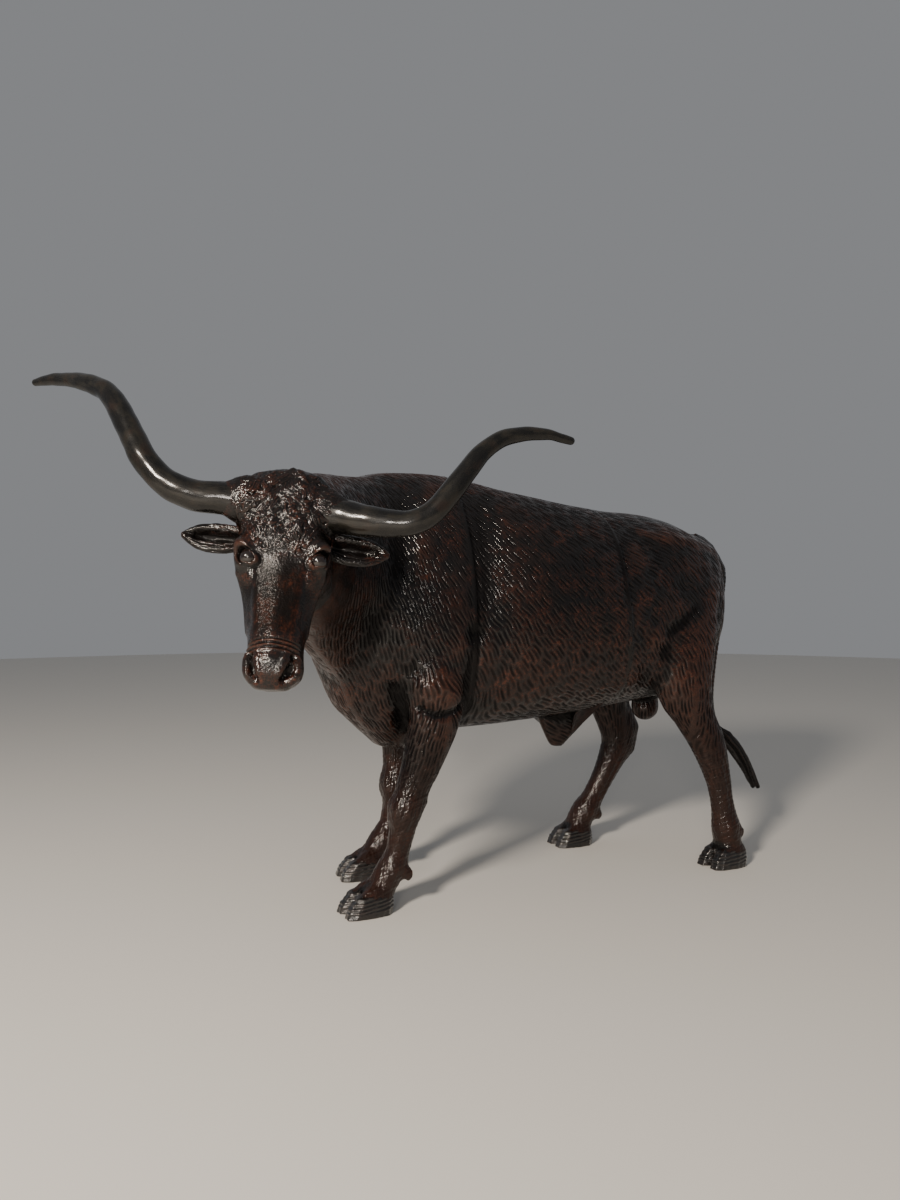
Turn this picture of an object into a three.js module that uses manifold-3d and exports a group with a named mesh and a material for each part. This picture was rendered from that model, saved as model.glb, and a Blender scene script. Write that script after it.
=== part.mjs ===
// A life-size cast statue of a longhorn bull, walking, with its head turned to its left.
// Millimetres. +X is the way the body faces, +Y its left, +Z up, and the ground is z = 0.

import * as THREE from "three";
import { mergeVertices } from "three/addons/utils/BufferGeometryUtils.js";
import Module from "manifold-3d";

const wasm = await Module();
wasm.setup();

// Driving dimensions.
const withersHeight = 1506;
const rumpX = -945;
const chestX = 800;
const brisketZ = 500;
const barrelHalfWidth = 332;
const shoulderSeamX = 305;
const loinSeamX = -312;
const kneeZ = 325;
const hockZ = 450;
const coronetZ = 62;
const headTurn = 70;
const headRoll = -3.5;
const facePitch = 65;
const poll = new THREE.Vector3(1027, 595, 1327);
const headLength = 534;
const hornRadius = 49;
const seamGap = 0.3;

const up = new THREE.Vector3(0, 0, 1);
const down = new THREE.Vector3(0, 0, -1);
const ahead = new THREE.Vector3(1, 0, 0);
const radians = THREE.MathUtils.degToRad;
const sides = { left: 1, right: -1 };

// Solids: a closed three.js geometry becomes one that can be joined and cut.

function solid(geometry) {
  const bare = geometry.clone();
  for (const name of Object.keys(bare.attributes)) {
    if (name !== "position") bare.deleteAttribute(name);
  }
  const merged = mergeVertices(bare, 1e-3);
  const triVerts = new Uint32Array(merged.index.array);
  const vertProperties = new Float32Array(merged.attributes.position.array);
  const made = new wasm.Manifold(new wasm.Mesh({ numProp: 3, vertProperties, triVerts }));
  if (made.volume() > 0) return made;
  for (let i = 0; i < triVerts.length; i += 3) {
    [triVerts[i + 1], triVerts[i + 2]] = [triVerts[i + 2], triVerts[i + 1]];
  }
  return new wasm.Manifold(new wasm.Mesh({ numProp: 3, vertProperties, triVerts }));
}

function join(...pieces) {
  return pieces.flat(2).reduce((whole, piece) => whole.add(piece));
}

// A node keeps only its largest closed surface.
function geometryOf(shape) {
  const bodies = shape.decompose();
  const body = bodies.reduce((best, next) => (next.volume() > best.volume() ? next : best));
  const mesh = body.getMesh();
  const geometry = new THREE.BufferGeometry();
  geometry.setAttribute("position", new THREE.BufferAttribute(mesh.vertProperties, 3));
  geometry.setIndex(new THREE.BufferAttribute(mesh.triVerts, 1));
  geometry.computeVertexNormals();
  return geometry;
}

// A swelling or hollow of the surface: its middle, its reach each way, and how far it lifts.
function lifted(at, centre, mouldings) {
  let lift = 0;
  for (const { middle, reach, rise } of mouldings) {
    const [dx, dy, dz] = [at.x - middle[0], at.y - middle[1], at.z - middle[2]];
    lift += rise * Math.exp(-((dx / reach[0]) ** 2 + (dy / reach[1]) ** 2 + (dz / reach[2]) ** 2));
  }
  return at.addScaledVector(at.clone().sub(centre).normalize(), lift);
}

// The same moulding on the left and on the right.
function bothSides(mouldings) {
  return mouldings.flatMap(([x, y, z, rx, ry, rz, rise]) =>
    [1, -1].map((side) => ({ middle: [x, side * y, z], reach: [rx, ry, rz], rise })));
}

function course(stations) {
  const along = [0];
  for (let i = 1; i < stations.length; i++) {
    const [a, b] = [stations[i - 1], stations[i]];
    along.push(along[i - 1] + Math.hypot(b[0] - a[0], b[1] - a[1], b[2] - a[2]) + 1);
  }
  const width = stations[0].length;
  const spline = new THREE.CubicInterpolant(along, stations.flat(), width, new Float64Array(width));
  return { total: along[along.length - 1], at: (s) => Array.from(spline.evaluate(s)) };
}

// A form follows a line of stations. Each station is
// [x, y, z, plus, minus, half, squareness on the plus side, squareness on the minus side]:
// its middle, how far it reaches along the main axis and against it, half its width across, and
// how square its two halves are, where 2 is an ellipse. A closed cylinder is bent onto them.
function form(stations, { main = up, round = 16, steps = 20, mouldings = [] } = {}) {
  const line = course(stations);
  const pointAt = (s) => new THREE.Vector3(...line.at(s).slice(0, 3));
  const geometry = new THREE.CylinderGeometry(1, 1, 1, round, steps);
  const position = geometry.attributes.position;
  for (let i = 0; i < position.count; i++) {
    const spread = Math.min(1, Math.hypot(position.getX(i), position.getZ(i)));
    const angle = Math.atan2(position.getX(i), position.getZ(i));
    const s = (0.5 - position.getY(i)) * line.total;
    const near = pointAt(Math.max(0, s - line.total / 200));
    const tangent = pointAt(Math.min(line.total, s + line.total / 200)).sub(near).normalize();
    const across = new THREE.Vector3().crossVectors(main, tangent).normalize();
    const square = new THREE.Vector3().crossVectors(tangent, across);
    const [x, y, z, plus, minus, half, squarePlus, squareMinus] = line.at(s);
    const [c, r] = [Math.cos(angle), Math.sin(angle)];
    const power = 2 / (r >= 0 ? squarePlus : squareMinus);
    const side = half * Math.sign(c) * Math.abs(c) ** power * spread;
    const rise = (r >= 0 ? plus : minus) * Math.sign(r) * Math.abs(r) ** power * spread;
    const centre = new THREE.Vector3(x, y, z);
    const at = centre.clone().addScaledVector(across, side).addScaledVector(square, rise);
    if (spread > 0.5) lifted(at, centre, mouldings);
    position.setXYZ(i, at.x, at.y, at.z);
  }
  return solid(geometry);
}

function ball(centre, radii, turn = [0, 0, 0], detail = 12) {
  const geometry = new THREE.SphereGeometry(1, detail, Math.round(detail * 0.6));
  const rotation = new THREE.Matrix4().makeRotationFromEuler(new THREE.Euler(...turn.map(radians)));
  geometry.scale(...radii);
  geometry.applyMatrix4(rotation);
  geometry.translate(...centre);
  return solid(geometry);
}

// A block whose one end is a cutting face: it starts at a point and reaches along a direction.
function block(point, direction, reach, across, overlap = 0) {
  const geometry = new THREE.BoxGeometry(across, across, reach + overlap);
  geometry.translate(0, 0, (reach - overlap) / 2);
  const turn = new THREE.Quaternion().setFromUnitVectors(up, direction.clone().normalize());
  geometry.applyQuaternion(turn);
  geometry.translate(point.x, point.y, point.z);
  return solid(geometry);
}

// Parts what lies beyond a cutting face from the rest, leaving the seam's gap between them.
function part(whole, point, direction, reach = 1600, across = 2400) {
  return {
    piece: whole.intersect(block(point, direction, reach, across)),
    rest: whole.subtract(block(point, direction, reach, across, seamGap)),
  };
}

// Body: from the pins of the rump to the front of the chest, with its bones and muscles.

function body(grow = 0) {
  // x, top, bottom, height of the widest place, half width, squareness above and below
  const girths = [
    [rumpX, 1220, 1050, 1118, 42, 2, 2],
    [rumpX + 25, 1264, 970, 1116, 96, 2, 2],
    [rumpX + 75, 1312, 890, 1110, 162, 2.1, 2],
    [-810, 1346, 800, 1092, 212, 2.2, 2],
    [-700, 1378, 704, 1066, 254, 2.2, 2.1],
    [-560, 1400, 640, 1036, 284, 2.1, 2.2],
    [-380, 1407, 622, 995, 310, 2.1, 2.2],
    [-160, 1424, 598, 970, barrelHalfWidth - 4, 2.05, 2.2],
    [60, 1452, 580, 970, barrelHalfWidth, 2, 2.2],
    [220, 1478, 568, 980, 312, 1.9, 2.2],
    [330, 1500, 554, 1000, 288, 1.8, 2.2],
    [430, withersHeight, 530, 1010, 274, 1.75, 2.1],
    [540, 1498, brisketZ, 1000, 258, 1.75, 2],
    [650, 1452, 552, 990, 230, 1.9, 2],
    [742, 1330, 676, 980, 178, 2, 2],
    [chestX, 1130, 850, 980, 84, 2, 2],
  ];
  const stations = girths.map(([x, top, bottom, widest, half, above, below]) =>
    [x, 0, widest, top - widest + grow, widest - bottom + grow, half + grow, above, below]);
  stations[0][0] -= grow;
  const mouldings = bothSides([
    // shoulder blade, arm and point of the shoulder, and the hollow behind them
    [450, 215, 1130, 120, 130, 230, 22],
    [380, 270, 880, 110, 130, 150, 26],
    [640, 170, 880, 110, 120, 130, 26],
    [262, 300, 930, 55, 150, 260, -14],
    // hook bone, hollow of the flank, pin bone and the fold before the thigh
    [-560, 232, 1290, 75, 75, 60, 26],
    [-455, 280, 1190, 95, 100, 90, -22],
    [-875, 100, 1190, 60, 60, 70, 14],
    [-420, 270, 740, 130, 130, 110, 12],
  ]);
  return form(stations, { round: 26, steps: 27, mouldings });
}

// Neck: from the shoulders round to the back of the head, with its crest and its dewlap.

function neck() {
  const stations = [
    [430, 0, 1090, 385, 420, 235, 1.9, 2],
    [600, 40, 1105, 378, 400, 215, 1.9, 1.9],
    [745, 140, 1135, 340, 322, 180, 2, 1.8],
    [860, 275, 1178, 284, 258, 152, 2.1, 1.9],
    [940, 410, 1216, 220, 218, 132, 2.2, 2.1],
    [990, 515, 1242, 156, 168, 104, 2.2, 2.2],
  ];
  const mouldings = [
    // the cord of muscle that runs from behind the ear down to the point of the shoulder
    { middle: [760, 330, 1060], reach: [150, 90, 70], rise: 14 },
    { middle: [700, 290, 950], reach: [70, 90, 90], rise: -16 },
  ];
  return form(stations, { round: 22, steps: 13, mouldings });
}

// Head. It is laid out flat in its own frame and then set on the neck: x runs down the face from
// between the horns, y to the animal's left and z out of the forehead.

const headSet = new THREE.Matrix4().makeTranslation(poll.x, poll.y, poll.z)
  .multiply(new THREE.Matrix4().makeRotationZ(radians(headTurn)))
  .multiply(new THREE.Matrix4().makeRotationX(radians(headRoll)))
  .multiply(new THREE.Matrix4().makeRotationY(radians(facePitch)));
const onHead = (x, y, z) => new THREE.Vector3(x, y, z).applyMatrix4(headSet);

const eyes = { left: [178, 100, 2], right: [188, -86, 5] };
const eyeRadii = [24, 20, 19];
const nostril = { x: headLength - 40, y: 54, z: -20 };
const hornRoot = { left: [34, 104, -14], right: [18, -104, -2] };
const mouthZ = -98;

// x, top, bottom, height of the widest place, half width, squareness above and below
const skullSections = [
  [-104, -6, -76, -45, 58, 2, 2],
  [-84, 22, -118, -48, 94, 2.2, 2],
  [-30, 44, -170, -50, 112, 2.4, 2],
  [30, 46, -215, -55, 116, 2.6, 2],
  [95, 42, -240, -60, 117, 2.8, 2.1],
  [165, 30, -238, -60, 118, 2.8, 2.1],
  [235, 12, -212, -62, 106, 2.6, 2.1],
  [310, 2, -182, -68, 90, 2.5, 2.2],
  [385, -2, -156, -72, 80, 2.4, 2.3],
  [432, 0, -144, -72, 78, 2.4, 2.3],
  [478, 2, -138, -68, 84, 2.5, 2.3],
  [512, -10, -130, -68, 74, 2.4, 2.3],
  [headLength, -40, -108, -74, 44, 2.2, 2.2],
].map(([x, top, bottom, widest, half, above, below]) =>
  [x, 0, widest, top - widest, widest - bottom, half, above, below]);

const skullLine = course(skullSections);

// The height of the forehead's surface over a point of the head's own ground plane.
function foreheadHeight(x, y) {
  let [low, high] = [0, skullLine.total];
  while (high - low > 1) {
    const middle = (low + high) / 2;
    if (skullLine.at(middle)[0] < x) low = middle;
    else high = middle;
  }
  const [, , widest, plus, , half, square] = skullLine.at(low);
  return widest + plus * (1 - Math.min(0.98, Math.abs(y) / half) ** square) ** (1 / square);
}

function skull(grow = 0) {
  const mouldings = bothSides([
    // rim over the eye, cheek, side of the nose, and the swelling round the nostril
    [168, 112, 8, 42, 34, 30, 20],
    [215, 112, -35, 50, 30, 26, 8],
    [140, 100, -150, 90, 60, 70, 12],
    [330, 80, -40, 90, 26, 26, -6],
    [nostril.x - 6, 66, -24, 30, 30, 30, 9],
    // the hollow over the eye, beneath the horn
    [105, 116, -6, 30, 30, 34, -8],
  ]);
  const stations = skullSections.map(([x, y, z, plus, minus, half, ...square]) =>
    [x, y, z, plus + grow, minus + grow, half + grow, ...square]);
  return form(stations, { round: 22, steps: 22, mouldings });
}

// The root of a horn, a rounded boss at the corner of the forehead.
function boss(name, grow = 0) {
  const [x, y, z] = hornRoot[name];
  const radii = name === "left" ? [64, 66, 60] : [68, 74, 62];
  return ball([x - 8, y * 0.96, z - 6], radii.map((radius) => radius + grow), [0, 0, 0], 14);
}

// A curl of the forelock: a tapered ridge that bends over the brow and sinks in at both ends.
function curl(x, y, lean, size, hand) {
  const bends = 4;
  const stations = [];
  for (let i = 0; i <= bends; i++) {
    const t = i / bends;
    const swing = Math.sin(t * Math.PI * 1.25) * size * 0.42 * hand;
    const cx = x + t * size * Math.cos(lean) - swing * Math.sin(lean);
    const cy = y + t * size * Math.sin(lean) + swing * Math.cos(lean);
    const girth = size * 0.19 * Math.sin(Math.PI * (0.16 + 0.76 * t));
    stations.push([cx, cy, foreheadHeight(cx, cy), girth, girth * 1.6, girth, 2, 2]);
  }
  return form(stations, { round: 5, steps: 4 });
}

// The curls lie in rows that fan out from between the horns down to the level of the eyes.
function forelock() {
  const curls = [];
  for (let row = 0; row < 4; row++) {
    const reach = 82 - row * 14;
    const count = 3 + (row % 2);
    for (let i = 0; i < count; i++) {
      const y = -reach + (2 * reach * i) / (count - 1);
      const lean = (y / reach) * 0.6 + 0.3 * Math.sin(row * 2.1 + i * 1.7);
      const size = 74 + 8 * Math.sin(i * 2.3 + row);
      curls.push(curl(-74 + row * 50, y, lean, size, (row + i) % 2 ? 1 : -1));
    }
  }
  return curls;
}

// The line of the mouth: a groove round the front of the muzzle, with the jaw left solid inside.
function mouth() {
  const depth = 9;
  const groove = new THREE.BoxGeometry(150, 240, 5);
  groove.translate(headLength - 50, 0, mouthZ);
  const inside = new THREE.BoxGeometry(200, 2 * (80 - depth), 20);
  inside.translate(headLength - depth - 122, 0, mouthZ);
  return solid(groove).subtract(solid(inside));
}

// Three wrinkles cross the nose above the nostrils.
function wrinkles() {
  return [0, 1, 2].map((i) => {
    const stations = [-1, -0.6, 0, 0.6, 1].map((t) => {
      const x = headLength - 112 + i * 13 + 5 * t * t;
      const y = t * 74;
      return [x, y, foreheadHeight(x, y), 3, 3, 3, 2, 2];
    });
    return form(stations, { round: 3, steps: 6 });
  });
}

function eyeball(name, grow = 0) {
  return ball(eyes[name], eyeRadii.map((radius) => radius + grow), [0, 0, 0], 10);
}

function head() {
  let made = join(skull(), boss("left"), boss("right"), forelock());
  for (const [name, side] of Object.entries(sides)) {
    made = made.subtract(eyeball(name, seamGap));
    // a lid over the eye and one under it
    made = join(made, lid(name, 1), lid(name, -1));
    // the nostril and the slit that runs up and out from it
    const opening = [nostril.x + 10, side * nostril.y, nostril.z];
    made = made.subtract(ball(opening, [26, 11, 14], [0, 0, side * -32], 8));
    const slit = [nostril.x - 8, side * (nostril.y + 15), nostril.z - 4];
    made = made.subtract(ball(slit, [22, 9, 8], [0, 0, side * 12], 8));
  }
  return made.subtract(join(wrinkles())).subtract(mouth());
}

// A lid is an arched ridge that follows the eye along one edge, just clear of the globe. The eye
// looks out sideways and a little up out of the forehead; edge is 1 for the lid nearer the brow.
function lid(name, edge) {
  const side = sides[name];
  const [x, y, z] = eyes[name];
  const [out, rise] = [0.8, 0.6];
  const stations = [-1, -0.5, 0, 0.5, 1].map((t) => {
    const arch = Math.cos((t * Math.PI) / 2);
    const girth = 4 + 3 * arch;
    const forward = 7 + 8 * arch;
    const aside = edge * (3 + 17 * arch);
    const lidY = y + side * (out * forward - rise * aside);
    return [x + t * 28 - edge * 3, lidY, z + rise * forward + out * aside, girth, girth, girth, 2, 2];
  });
  const ridge = form(stations, { round: 5, steps: 5 });
  return ridge.subtract(eyeball(name, seamGap));
}

// Ear: a leaf that stands out sideways, hollowed into a cup in front.
const earReach = 196;

function ear(side) {
  const stations = [];
  const hollow = [];
  const count = 6;
  for (let i = 0; i <= count; i++) {
    const t = i / count;
    const leaf = 14 + 30 * Math.sin(Math.PI * Math.min(1, 0.1 + 0.86 * t)) ** 0.8;
    const depth = 8 + 14 * (1 - t);
    const at = [108 + (side > 0 ? 14 : -12) * t, side * (92 + t * earReach), -58 - 16 * t * t];
    stations.push([...at, depth, depth, i === count ? leaf * 0.35 : leaf, 2, 2]);
    hollow.push([at[0], at[1], at[2] + depth + 3, depth + 2, depth, Math.max(2, leaf - 7), 2, 2]);
  }
  const leaf = form(stations, { round: 10, steps: 9 });
  return leaf.subtract(form(hollow.slice(1, -1), { round: 8, steps: 5 }));
}

// Horns. Each leaves the head sideways, sweeps up and turns out again to its tip. The stations
// are in the head's frame, from the root outwards, and a size of 1 is the root's radius.
const hornCourse = {
  left: [
    [34, 60, -18, 1],
    [40, 140, -10, 0.98],
    [60, 209, 7, 0.92],
    [72, 281, 24, 0.79],
    [71, 340, 34, 0.73],
    [43, 395, 47, 0.67],
    [-16, 445, 62, 0.63],
    [-84, 489, 74, 0.59],
    [-144, 530, 80, 0.55],
    [-191, 580, 80, 0.5],
    [-220, 644, 72, 0.42],
    [-236, 718, 56, 0.32],
    [-235, 802, 30, 0.1],
  ],
  right: [
    [18, -60, -6, 0.98],
    [16, -174, 3, 0.95],
    [16, -250, 9, 0.87],
    [-11, -328, 18, 0.8],
    [-70, -392, 30, 0.75],
    [-123, -425, 36, 0.72],
    [-184, -461, 38, 0.68],
    [-254, -506, 33, 0.64],
    [-302, -549, 20, 0.6],
    [-345, -615, -9, 0.53],
    [-382, -703, -54, 0.4],
    [-402, -806, -108, 0.1],
  ],
};

function horn(name) {
  const stations = hornCourse[name].map(([x, y, z, size]) => {
    const radius = size * hornRadius;
    return [x, y, z, radius, radius, radius, 2, 2];
  });
  return form(stations, { main: up, round: 11, steps: 20 });
}

// Legs. A leg runs from inside the body down into its hoof, and its sections face ahead:
// x, y, z, ahead, behind, half width, squareness ahead and behind.

const legs = {
  left_fore: {
    stations: [
      [418, 195, 900, 130, 140, 78, 2, 2],
      [425, 218, 740, 112, 122, 82, 2.1, 2.1],
      [440, 222, 620, 88, 96, 68, 2.1, 2.1],
      [478, 212, 480, 68, 72, 56, 2.1, 2.1],
      [508, 206, 395, 58, 58, 50, 2.2, 2.2],
      [528, 202, kneeZ, 60, 56, 54, 2.5, 2.3],
      [540, 199, 268, 46, 48, 44, 2.3, 2.2],
      [556, 196, 200, 40, 44, 37, 2.1, 2.1],
      [574, 193, 142, 47, 50, 48, 2.1, 2.1],
      [600, 190, 100, 46, 48, 50, 2.1, 2.1],
      [634, 188, 40, 50, 50, 54, 2.2, 2.2],
    ],
    joint: [528, 202, kneeZ],
    hoof: [658, 188, 4],
  },
  right_fore: {
    stations: [
      [400, -195, 900, 130, 140, 78, 2, 2],
      [398, -218, 740, 112, 122, 82, 2.1, 2.1],
      [396, -222, 620, 86, 96, 68, 2.1, 2.1],
      [396, -214, 480, 66, 72, 56, 2.1, 2.1],
      [404, -208, 395, 58, 58, 50, 2.2, 2.2],
      [412, -204, kneeZ, 60, 56, 54, 2.5, 2.3],
      [420, -201, 268, 46, 48, 44, 2.3, 2.2],
      [436, -198, 200, 40, 44, 37, 2.1, 2.1],
      [460, -195, 142, 47, 50, 48, 2.1, 2.1],
      [492, -193, 100, 46, 48, 50, 2.1, 2.1],
      [528, -191, 40, 50, 50, 54, 2.2, 2.2],
    ],
    joint: [412, -204, kneeZ],
    hoof: [552, -191, -4],
  },
  left_hind: {
    stations: [
      [-690, 130, 1150, 160, 130, 96, 2.2, 2.2],
      [-650, 172, 960, 205, 158, 112, 2.2, 2.2],
      [-635, 204, 810, 172, 138, 98, 2.2, 2.1],
      [-640, 222, 680, 132, 104, 80, 2.1, 2.1],
      [-672, 236, 575, 84, 84, 60, 2.1, 1.9],
      [-716, 246, hockZ + 30, 70, 84, 50, 2.2, 1.9],
      [-744, 252, 400, 56, 66, 47, 2.2, 2],
      [-768, 255, 320, 48, 50, 42, 2.1, 2],
      [-784, 256, 230, 46, 48, 40, 2.1, 2],
      [-800, 256, 155, 54, 56, 52, 2.1, 2.1],
      [-808, 254, 105, 52, 52, 54, 2.1, 2.1],
      [-812, 252, 40, 54, 52, 56, 2.2, 2.2],
    ],
    joint: [-716, 246, hockZ + 30],
    hoof: [-798, 250, 2],
  },
  right_hind: {
    stations: [
      [-690, -130, 1150, 160, 130, 96, 2.2, 2.2],
      [-634, -172, 960, 205, 180, 112, 2.2, 2.2],
      [-585, -200, 810, 176, 180, 98, 2.2, 2.1],
      [-562, -214, 680, 134, 138, 80, 2.1, 2.1],
      [-578, -220, 575, 84, 96, 60, 2.1, 1.9],
      [-620, -224, hockZ - 5, 72, 116, 52, 2.2, 1.8],
      [-590, -230, 350, 58, 64, 48, 2.2, 2],
      [-550, -236, 270, 48, 50, 43, 2.1, 2],
      [-512, -243, 200, 46, 48, 42, 2.1, 2],
      [-474, -249, 142, 54, 56, 52, 2.1, 2.1],
      [-448, -253, 100, 52, 52, 54, 2.1, 2.1],
      [-428, -255, 40, 54, 52, 56, 2.2, 2.2],
    ],
    joint: [-620, -224, hockZ - 5],
    hoof: [-410, -255, -2],
  },
};

// Hoof: two claws side by side that slope to the toe, under a rounded coronet with soft heels.
function hoof([x, y, turn]) {
  const claws = [1, -1].map((side) => {
    const claw = [
      [4, side * 37, -14, 92, 80, 36, 2.8, 2.4],
      [0, side * 36, 12, 84, 78, 36, 2.8, 2.4],
      [-16, side * 34, 42, 62, 64, 34, 2.6, 2.3],
      [-28, side * 31, 72, 46, 50, 29, 2.3, 2.2],
      [-34, side * 27, 92, 30, 34, 20, 2, 2],
    ];
    return form(claw, { main: ahead, round: 10, steps: 5 });
  });
  const coronet = ball([-32, 0, 68], [56, 55, 28], [0, -8, 0], 9);
  const place = new THREE.Matrix4().makeTranslation(x, y, 0);
  place.multiply(new THREE.Matrix4().makeRotationZ(radians(turn)));
  return join(claws, coronet).transform(place.elements);
}

// Two dewclaws stand out behind the fetlock.
function dewclaws([x, y, z]) {
  return [1, -1].map((side) => ball([x - 46, y + side * 27, z - 22], [24, 16, 27], [0, 24, 0], 7));
}

// An outline drawn in the plane of x and z, or of y and z, and carried straight through.
function curtain(points, plane, grow) {
  const middle = points.reduce((sum, [p]) => sum + p / points.length, 0);
  const outline = new THREE.Shape(points.map(([p, z]) =>
    new THREE.Vector2(p + grow * Math.sign(p - middle), z + (z > 0 ? grow : 0))));
  const geometry = new THREE.ExtrudeGeometry(outline, { depth: 4000, bevelEnabled: false });
  geometry.translate(0, 0, -2000);
  const turn = plane === "x"
    ? new THREE.Matrix4().set(1, 0, 0, 0, 0, 0, -1, 0, 0, 1, 0, 0, 0, 0, 0, 1)
    : new THREE.Matrix4().set(0, 0, 1, 0, 1, 0, 0, 0, 0, 1, 0, 0, 0, 0, 0, 1);
  geometry.applyMatrix4(turn);
  return solid(geometry);
}

// The space of one leg: beside the belly, with a top that slopes up to the outside.
function legSpace(leg, { inner, top, wide, shelf, nearTop }, grow) {
  const side = Math.sign(leg.joint[1]);
  const [x, , , front, back] = leg.stations[nearTop];
  const narrow = [x - back - 14, x + front + 14];
  const across = [[side * inner, -60], [side * inner, top], [side * 460, top + 200], [side * 460, -60]];
  const along = [
    [wide[0], -60], [wide[0], shelf], [narrow[0], shelf + 40], [narrow[0], 1000],
    [narrow[1], 1000], [narrow[1], shelf + 40], [wide[1], shelf], [wide[1], -60],
  ];
  return curtain(across, "y", grow).intersect(curtain(along, "x", grow));
}

const foreSpace = { inner: 108, top: 600, wide: [180, 860], shelf: 440, nearTop: 2 };
const hindSpace = { inner: 66, top: 668, wide: [-1000, -220], shelf: 560, nearTop: 3 };

// Tail: it hangs from the rump behind the thighs and kicks back at its tuft.

const tailCourse = [
  [-850, 0, 1288, 34, 34, 46, 2, 2],
  [-922, 0, 1258, 34, 34, 38, 2, 2],
  [-980, 2, 1178, 27, 28, 29, 2, 2],
  [-976, 6, 1040, 23, 23, 24, 2, 2],
  [-955, 10, 890, 20, 20, 21, 2, 2],
  [-930, 14, 740, 18, 18, 19, 2, 2],
  [-920, 16, 600, 18, 18, 18, 2, 2],
  [-936, 16, 520, 22, 22, 20, 2, 2],
  [-978, 16, 455, 30, 28, 25, 2, 2],
];
const tuftTop = new THREE.Vector3(-950, 16, 492);
const tuftWay = new THREE.Vector3(-0.55, 0, -0.83);

function tail() {
  return form(tailCourse, { main: ahead, round: 10, steps: 20 });
}

// The tuft is a sheaf of long tapered locks that start together and end one after another.
function tuft() {
  const count = 4;
  const locks = [];
  for (let i = 0; i < count; i++) {
    const fan = i / (count - 1) - 0.5;
    const turn = i * 2.4;
    const reach = 1 - 0.1 * ((i * 3) % count) / count;
    const bow = [0, 0.3, 0.62, 0.88, 1].map((t) => {
      const girth = 25 * Math.sin(Math.PI * Math.min(0.97, 0.3 + 0.62 * t)) + 2;
      const spread = Math.sin(Math.PI * (0.12 + 0.76 * t)) * 17;
      return [
        -944 - 236 * t * reach + fan * 26 * t + Math.cos(turn) * spread * 0.6,
        16 + Math.sin(turn) * spread,
        490 - 70 * t - 202 * t * t * reach + Math.cos(turn) * spread * 0.5,
        girth, girth, girth * 0.8, 2, 2,
      ];
    });
    locks.push(form(bow, { main: ahead, round: 5, steps: 5 }));
  }
  return join(locks);
}

// Sheath and scrotum hang from the belly.

function sheath() {
  const stations = [
    [-205, 0, 680, 165, 165, 56, 2, 2],
    [-203, 0, 610, 132, 134, 48, 2, 2],
    [-192, 0, 550, 88, 90, 38, 2, 2],
    [-183, 0, 500, 48, 50, 28, 2, 2],
    [-180, 0, 470, 24, 26, 16, 2, 2],
  ];
  return form(stations, { main: ahead, round: 14, steps: 9 });
}

function scrotum() {
  const stations = [
    [-612, 0, 760, 60, 60, 44, 2, 2],
    [-606, 0, 680, 42, 42, 38, 2, 2],
    [-602, 0, 620, 56, 56, 52, 2, 2],
    [-600, 0, 572, 48, 48, 46, 2, 2],
    [-600, 0, 550, 20, 20, 20, 2, 2],
  ];
  return form(stations, { main: ahead, round: 14, steps: 9 });
}

// Finishes of the casting.

const bronze = (color, roughness) => new THREE.MeshStandardMaterial({ color, roughness, metalness: 0.6 });
const patina = bronze(0x33241e, 0.38);
const hornMetal = bronze(0x231d1b, 0.3);
const hoofMetal = bronze(0x1e1918, 0.3);
const eyeMetal = bronze(0x14100f, 0.25);

const bull = new THREE.Group();
bull.name = "longhorn_statue";

function add(name, shape, material = patina) {
  const mesh = new THREE.Mesh(geometryOf(shape), material);
  mesh.name = name;
  bull.add(mesh);
}

// The flesh is joined whole and then parted into its pieces with thin cuts.

let flesh = join(body(), neck());
for (const leg of Object.values(legs)) {
  const limb = form(leg.stations, { main: ahead, round: 12, steps: 20 });
  flesh = join(flesh, limb, hoof(leg.hoof), dewclaws(leg.stations.at(-3)));
}
flesh = flesh.subtract(block(new THREE.Vector3(0, 0, 0), down, 100, 4000));

// Legs come off below the armpit and the flank, and part again at the knee or hock and the hoof.
for (const [name, leg] of Object.entries(legs)) {
  const space = name.endsWith("fore") ? foreSpace : hindSpace;
  const whole = flesh.intersect(legSpace(leg, space, 0));
  flesh = flesh.subtract(legSpace(leg, space, seamGap));
  const upper = part(whole, new THREE.Vector3(...leg.joint), down);
  const [x, y] = leg.hoof;
  const lower = part(upper.piece, new THREE.Vector3(x - 28, y, coronetZ), new THREE.Vector3(0.16, 0, -1));
  add(`${name}_upper_leg`, upper.rest);
  add(`${name}_lower_leg`, lower.rest);
  add(`${name}_hoof`, lower.piece, hoofMetal);
}

// Tail, sheath and scrotum are shaped against the body that they grow from.
const clearBody = body(seamGap);
const tuftCut = part(join(tail(), tuft()), tuftTop, tuftWay);
add("tail", tuftCut.rest.subtract(clearBody));
add("tail_tuft", tuftCut.piece);
add("sheath", sheath().subtract(clearBody));
add("scrotum", scrotum().subtract(clearBody));

// Head, with its horns, ears and eyes.
const headShape = head();
const setOnNeck = (shape) => shape.transform(headSet.elements);
let headOnly = headShape;
for (const [name, side] of Object.entries(sides)) {
  const [x, y, z] = hornRoot[name];
  const root = new THREE.Vector3(x, y + side * 42, z);
  const hornAway = block(root, new THREE.Vector3(0, side, 0), 900, 2400);
  const hornPiece = horn(name).intersect(hornAway);
  headOnly = headOnly.subtract(block(root, new THREE.Vector3(0, side, 0), 60, 140, seamGap));
  add(`${name}_horn`, setOnNeck(hornPiece), hornMetal);
  const clearHead = skull(seamGap).add(boss(name, seamGap));
  add(`${name}_ear`, setOnNeck(ear(side).subtract(clearHead)));
  add(`${name}_eye`, setOnNeck(eyeball(name)), eyeMetal);
}
flesh = join(flesh, setOnNeck(headOnly));

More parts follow.
